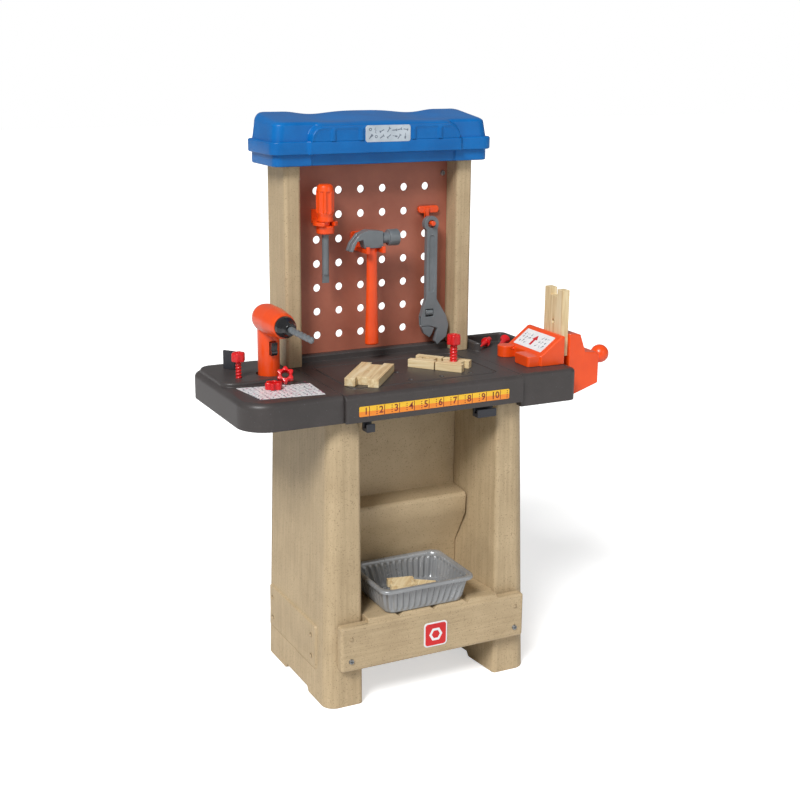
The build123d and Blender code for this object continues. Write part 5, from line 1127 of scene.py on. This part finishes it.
both = add(tree, "GeometryNodeJoinGeometry")
for link in (lines.outputs["Instances"], columns.outputs["Instances"]):
    tree.links.new(link, both.inputs["Geometry"])
spread = add(tree, "GeometryNodeInstanceOnPoints",
             {"Points": ask["Starts"], "Instance": both.outputs["Geometry"]})
real = add(tree, "GeometryNodeRealizeInstances", {"Geometry": spread.outputs["Instances"]})
dressed = add(tree, "GeometryNodeSetMaterial",
              {"Geometry": real.outputs["Geometry"], "Material": ruler_red})
add(tree, "NodeGroupOutput", {"Geometry": dressed.outputs["Geometry"]})
ruler_mid = (ruler_low + ruler_high) / 2
first_mark = Vector((ruler_mid.x - (INCHES - 1) / 2 * INCH, ruler_low.y - 0.02 * MM, ruler_mid.z))
marks = grown("ruler_marks", tree, [first_mark], mark_inputs, {"Pitch": INCH}, ruler_red,
              "ruler_strip")
print("ruler marks", len(marks.data.polygons))


# %% [markdown]
# The numbers are text with a little thickness, so that they are real ink films on the strip.
# Each text is turned into a mesh first, and then stood up and moved in its mesh, so that the
# finished piece's object stays at the origin.
# %% Ruler numbers
NUMBER_SIZE, NUMBER_BOLD, INK_FILM, MARK_GAP = 15, 0.25, 0.12, 1.6


def number_mesh(text):
    """A number as a flat mesh with a little thickness, lying in XY."""
    curve = bpy.data.curves.new("number", "FONT")
    curve.body = text
    curve.size = NUMBER_SIZE * MM
    curve.extrude = INK_FILM * MM / 2
    curve.offset = NUMBER_BOLD * MM
    curve.align_x = "RIGHT"
    curve.align_y = "CENTER"
    curve.resolution_u = 3
    holder = bpy.data.objects.new("number", curve)
    bpy.context.scene.collection.objects.link(holder)
    mesh = baked(holder)
    bpy.data.objects.remove(holder)
    return mesh


numbers = bmesh.new()
stand = Matrix.Rotation(math.radians(90), 4, "X")
for count in range(1, INCHES + 1):
    mesh = number_mesh(str(count))
    spot = Vector((first_mark.x + (count - 1) * INCH - MARK_GAP * MM, first_mark.y, ruler_mid.z))
    mesh.transform(Matrix.Translation(spot) @ stand)
    numbers.from_mesh(mesh)
bmesh.ops.remove_doubles(numbers, verts=numbers.verts[:], dist=0.002 * MM)
digits = piece("ruler_numbers", numbers, ruler_red, "ruler_strip", smooth=False)
print("ruler numbers", len(digits.data.polygons), "faces")


# %% [markdown]
# ## Printed pictures
# The labels carry small line pictures of tools. They are generic outlines of a nut, a bolt, a
# driver, a spanner and a zigzag of wire. Each is a thin closed film on the sheet, so that it
# is real geometry and not only a colour.
# %% Print motifs
PICTURES = {
    "bolt": [(-0.9, -0.4), (-0.55, -0.4), (-0.55, -0.15), (0.9, -0.15), (0.9, 0.15),
             (-0.55, 0.15), (-0.55, 0.4), (-0.9, 0.4)],
    "driver": [(-1, -0.28), (-0.1, -0.28), (-0.1, -0.09), (0.8, -0.09), (1, 0), (0.8, 0.09),
               (-0.1, 0.09), (-0.1, 0.28), (-1, 0.28)],
    "spanner": [(-1, -0.16), (0.35, -0.16), (0.6, -0.42), (1, -0.42), (0.72, -0.12),
                (0.72, 0.12), (1, 0.42), (0.6, 0.42), (0.35, 0.16), (-1, 0.16)],
    "wire": [(-1, -0.2), (-0.5, 0.25), (0, -0.2), (0.5, 0.25), (1, -0.2), (1, 0.0),
             (0.5, 0.45), (0, 0.0), (-0.5, 0.45), (-1, 0.0)],
    "saw": [(-1, -0.12), (0.4, -0.3), (0.4, -0.42), (1, -0.42), (1, 0.42), (0.4, 0.42),
            (0.4, 0.3), (-1, 0.05)],
}
FILM = 0.05 * MM
EAST, NORTH, UP = Vector((1, 0, 0)), Vector((0, 1, 0)), Vector((0, 0, 1))


def print_outline(shape, outline, origin, across_dir, up_dir, size, turn):
    """One printed outline as a thin closed film on a sheet."""
    out = across_dir.cross(up_dir).normalized()
    c, s = math.cos(turn), math.sin(turn)
    flat = [origin + across_dir * size * (x * c - y * s) + up_dir * size * (x * s + y * c)
            for x, y in outline]
    low = [shape.verts.new(p - out * FILM) for p in flat]
    high = [shape.verts.new(p + out * FILM) for p in flat]
    shape.faces.new(low[::-1])
    shape.faces.new(high)
    for i in range(len(flat)):
        k = (i + 1) % len(flat)
        shape.faces.new((low[i], low[k], high[k], high[i]))


def print_nut(shape, origin, across_dir, up_dir, size, inner=0.5):
    """A printed nut: a six-sided ring."""
    out = across_dir.cross(up_dir).normalized()
    angles = [2 * math.pi * i / 6 for i in range(6)]
    around = [across_dir * math.cos(a) + up_dir * math.sin(a) for a in angles]
    rows = []
    for share, rise in ((1, -FILM), (1, FILM), (inner, FILM), (inner, -FILM)):
        rows.append([shape.verts.new(origin + out * rise + way * size * share) for way in around])
    for low, high in zip(rows, rows[1:] + rows[:1]):
        for i in range(6):
            k = (i + 1) % 6
            shape.faces.new((low[i], low[k], high[k], high[i]))


print("pictures", list(PICTURES))


# %% [markdown]
# The pictures are scattered over each label in rows, with a little play in place and turn, as
# a crowded printed chart has. A fixed seed gives the same print on every run.
# %% Label prints
PLAY = 0.12


def scatter_prints(name, node, origin, across_dir, up_dir, columns, rows, step, size, material,
                   seed, keep=1.0, kinds=tuple(PICTURES) + ("nut",)):
    """Rows of small pictures on a sheet, centred on a point."""
    dice = random.Random(seed)
    shape = bmesh.new()
    for column in range(columns):
        for row in range(rows):
            kind = dice.choice(kinds)
            turn = dice.uniform(0, math.pi)
            skip = dice.random() > keep
            aside = step[0] * (column - (columns - 1) / 2 + dice.uniform(-PLAY, PLAY))
            rise = step[1] * (row - (rows - 1) / 2 + dice.uniform(-PLAY, PLAY))
            spot = origin + (across_dir * aside + up_dir * rise)
            if skip:
                continue
            if kind == "nut":
                print_nut(shape, spot, across_dir, up_dir, size * 0.6)
            else:
                print_outline(shape, PICTURES[kind], spot, across_dir, up_dir, size, turn)
    return piece(name, shape, material, node, smooth=False)


label_low, label_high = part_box("wing_label")
label_mid = Vector(((label_low.x + label_high.x) / 2, (label_low.y + label_high.y) / 2,
                    label_high.z))
chart = scatter_prints("wing_label_pictures", "wing_label", label_mid, EAST, NORTH, 13, 10,
                       (8.2 * MM, 8.2 * MM), 3.6 * MM, ink_grey, 11)
scatter_prints("wing_label_dashes", "wing_label", label_mid + Vector((4, 3, 0.02)) * MM, EAST,
               NORTH, 9, 7, (12 * MM, 11.5 * MM), 2.6 * MM, ink_magenta, 12, 0.6, ("bolt",))
plate_mid = Vector(((plate_low.x + plate_high.x) / 2, plate_low.y,
                    (plate_low.z + plate_high.z) / 2))
scatter_prints("roof_plate_pictures", "roof_plate", plate_mid, EAST, UP, 7, 2,
               (10.4 * MM, 11 * MM), 4.6 * MM, ink_grey, 5)
print("faces of the wing label's pictures", len(chart.data.polygons))

# %% [markdown]
# The vise's label lies on the slope of its base. A 3-4-5 triangle gives the slope's two
# directions. A red arrow between two groups of pictures shows which way the jaw moves.
# %% Vise label
slope_low, slope_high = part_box("vise_label")
SLOPE = Vector((0.8, 0, 0.6))
slope_out = Vector((-0.6, 0, 0.8))
slope_mid = (slope_low + slope_high) / 2 + slope_out * 0.3 * MM
TOWARDS_CHILD = Vector((0, -1, 0))
PICTURES_AWAY = 25
for side, sign in (("far", -1), ("near", 1)):
    spot = slope_mid + TOWARDS_CHILD * sign * PICTURES_AWAY * MM
    scatter_prints(f"vise_label_pictures_{side}", "vise_label", spot, TOWARDS_CHILD, SLOPE,
                   3, 3, (8.5 * MM, 8.5 * MM), 3.4 * MM, ink_grey, 21 + sign)
ARROW = [(-1, -0.28), (0.1, -0.28), (0.1, -0.7), (1, 0), (0.1, 0.7), (0.1, 0.28), (-1, 0.28)]
arrow = bmesh.new()
print_outline(arrow, ARROW, slope_mid, TOWARDS_CHILD, SLOPE, 11 * MM, math.radians(90))
pointer = piece("vise_label_arrow", arrow, ink_red, "vise_label", smooth=False)
print("arrow faces", len(pointer.data.polygons))

# %% [markdown]
# The badge on the rail is a white sheet with a red field and a plain hexagon nut. The field is
# a short stack of rounded rectangles that is laid on the sheet, so its white border is the
# sheet itself.
# %% Badge
badge_low, badge_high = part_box("front_badge")
badge_mid = Vector(((badge_low.x + badge_high.x) / 2, badge_low.y,
                    (badge_low.z + badge_high.z) / 2))
BADGE_BORDER, BADGE_CORNER, BADGE_NUT = 2.4, 4, 12
badge_half = (badge_high.x - badge_low.x) / 2 - BADGE_BORDER * MM
badge_rings = []
for rise, inset in ((0.1, 0.0), (-0.25, 0.0), (-0.4, 0.3)):
    spots = round_box((0, 0), badge_half - inset * MM, badge_half - inset * MM,
                      BADGE_CORNER * MM, 0, 48)
    badge_rings.append([badge_mid + Vector((p.x, rise * MM, p.y)) for p, _ in spots])
piece("badge_red_field", lofted(badge_rings), red, "front_badge")
badge_nut = bmesh.new()
print_nut(badge_nut, badge_mid + Vector((0, -0.42 * MM, 0)), EAST, UP, BADGE_NUT * MM, 0.62)
piece("badge_white_nut", badge_nut, vinyl_white, "front_badge", smooth=False)
print("badge field is", round(2 * badge_half / MM, 1), "mm wide")
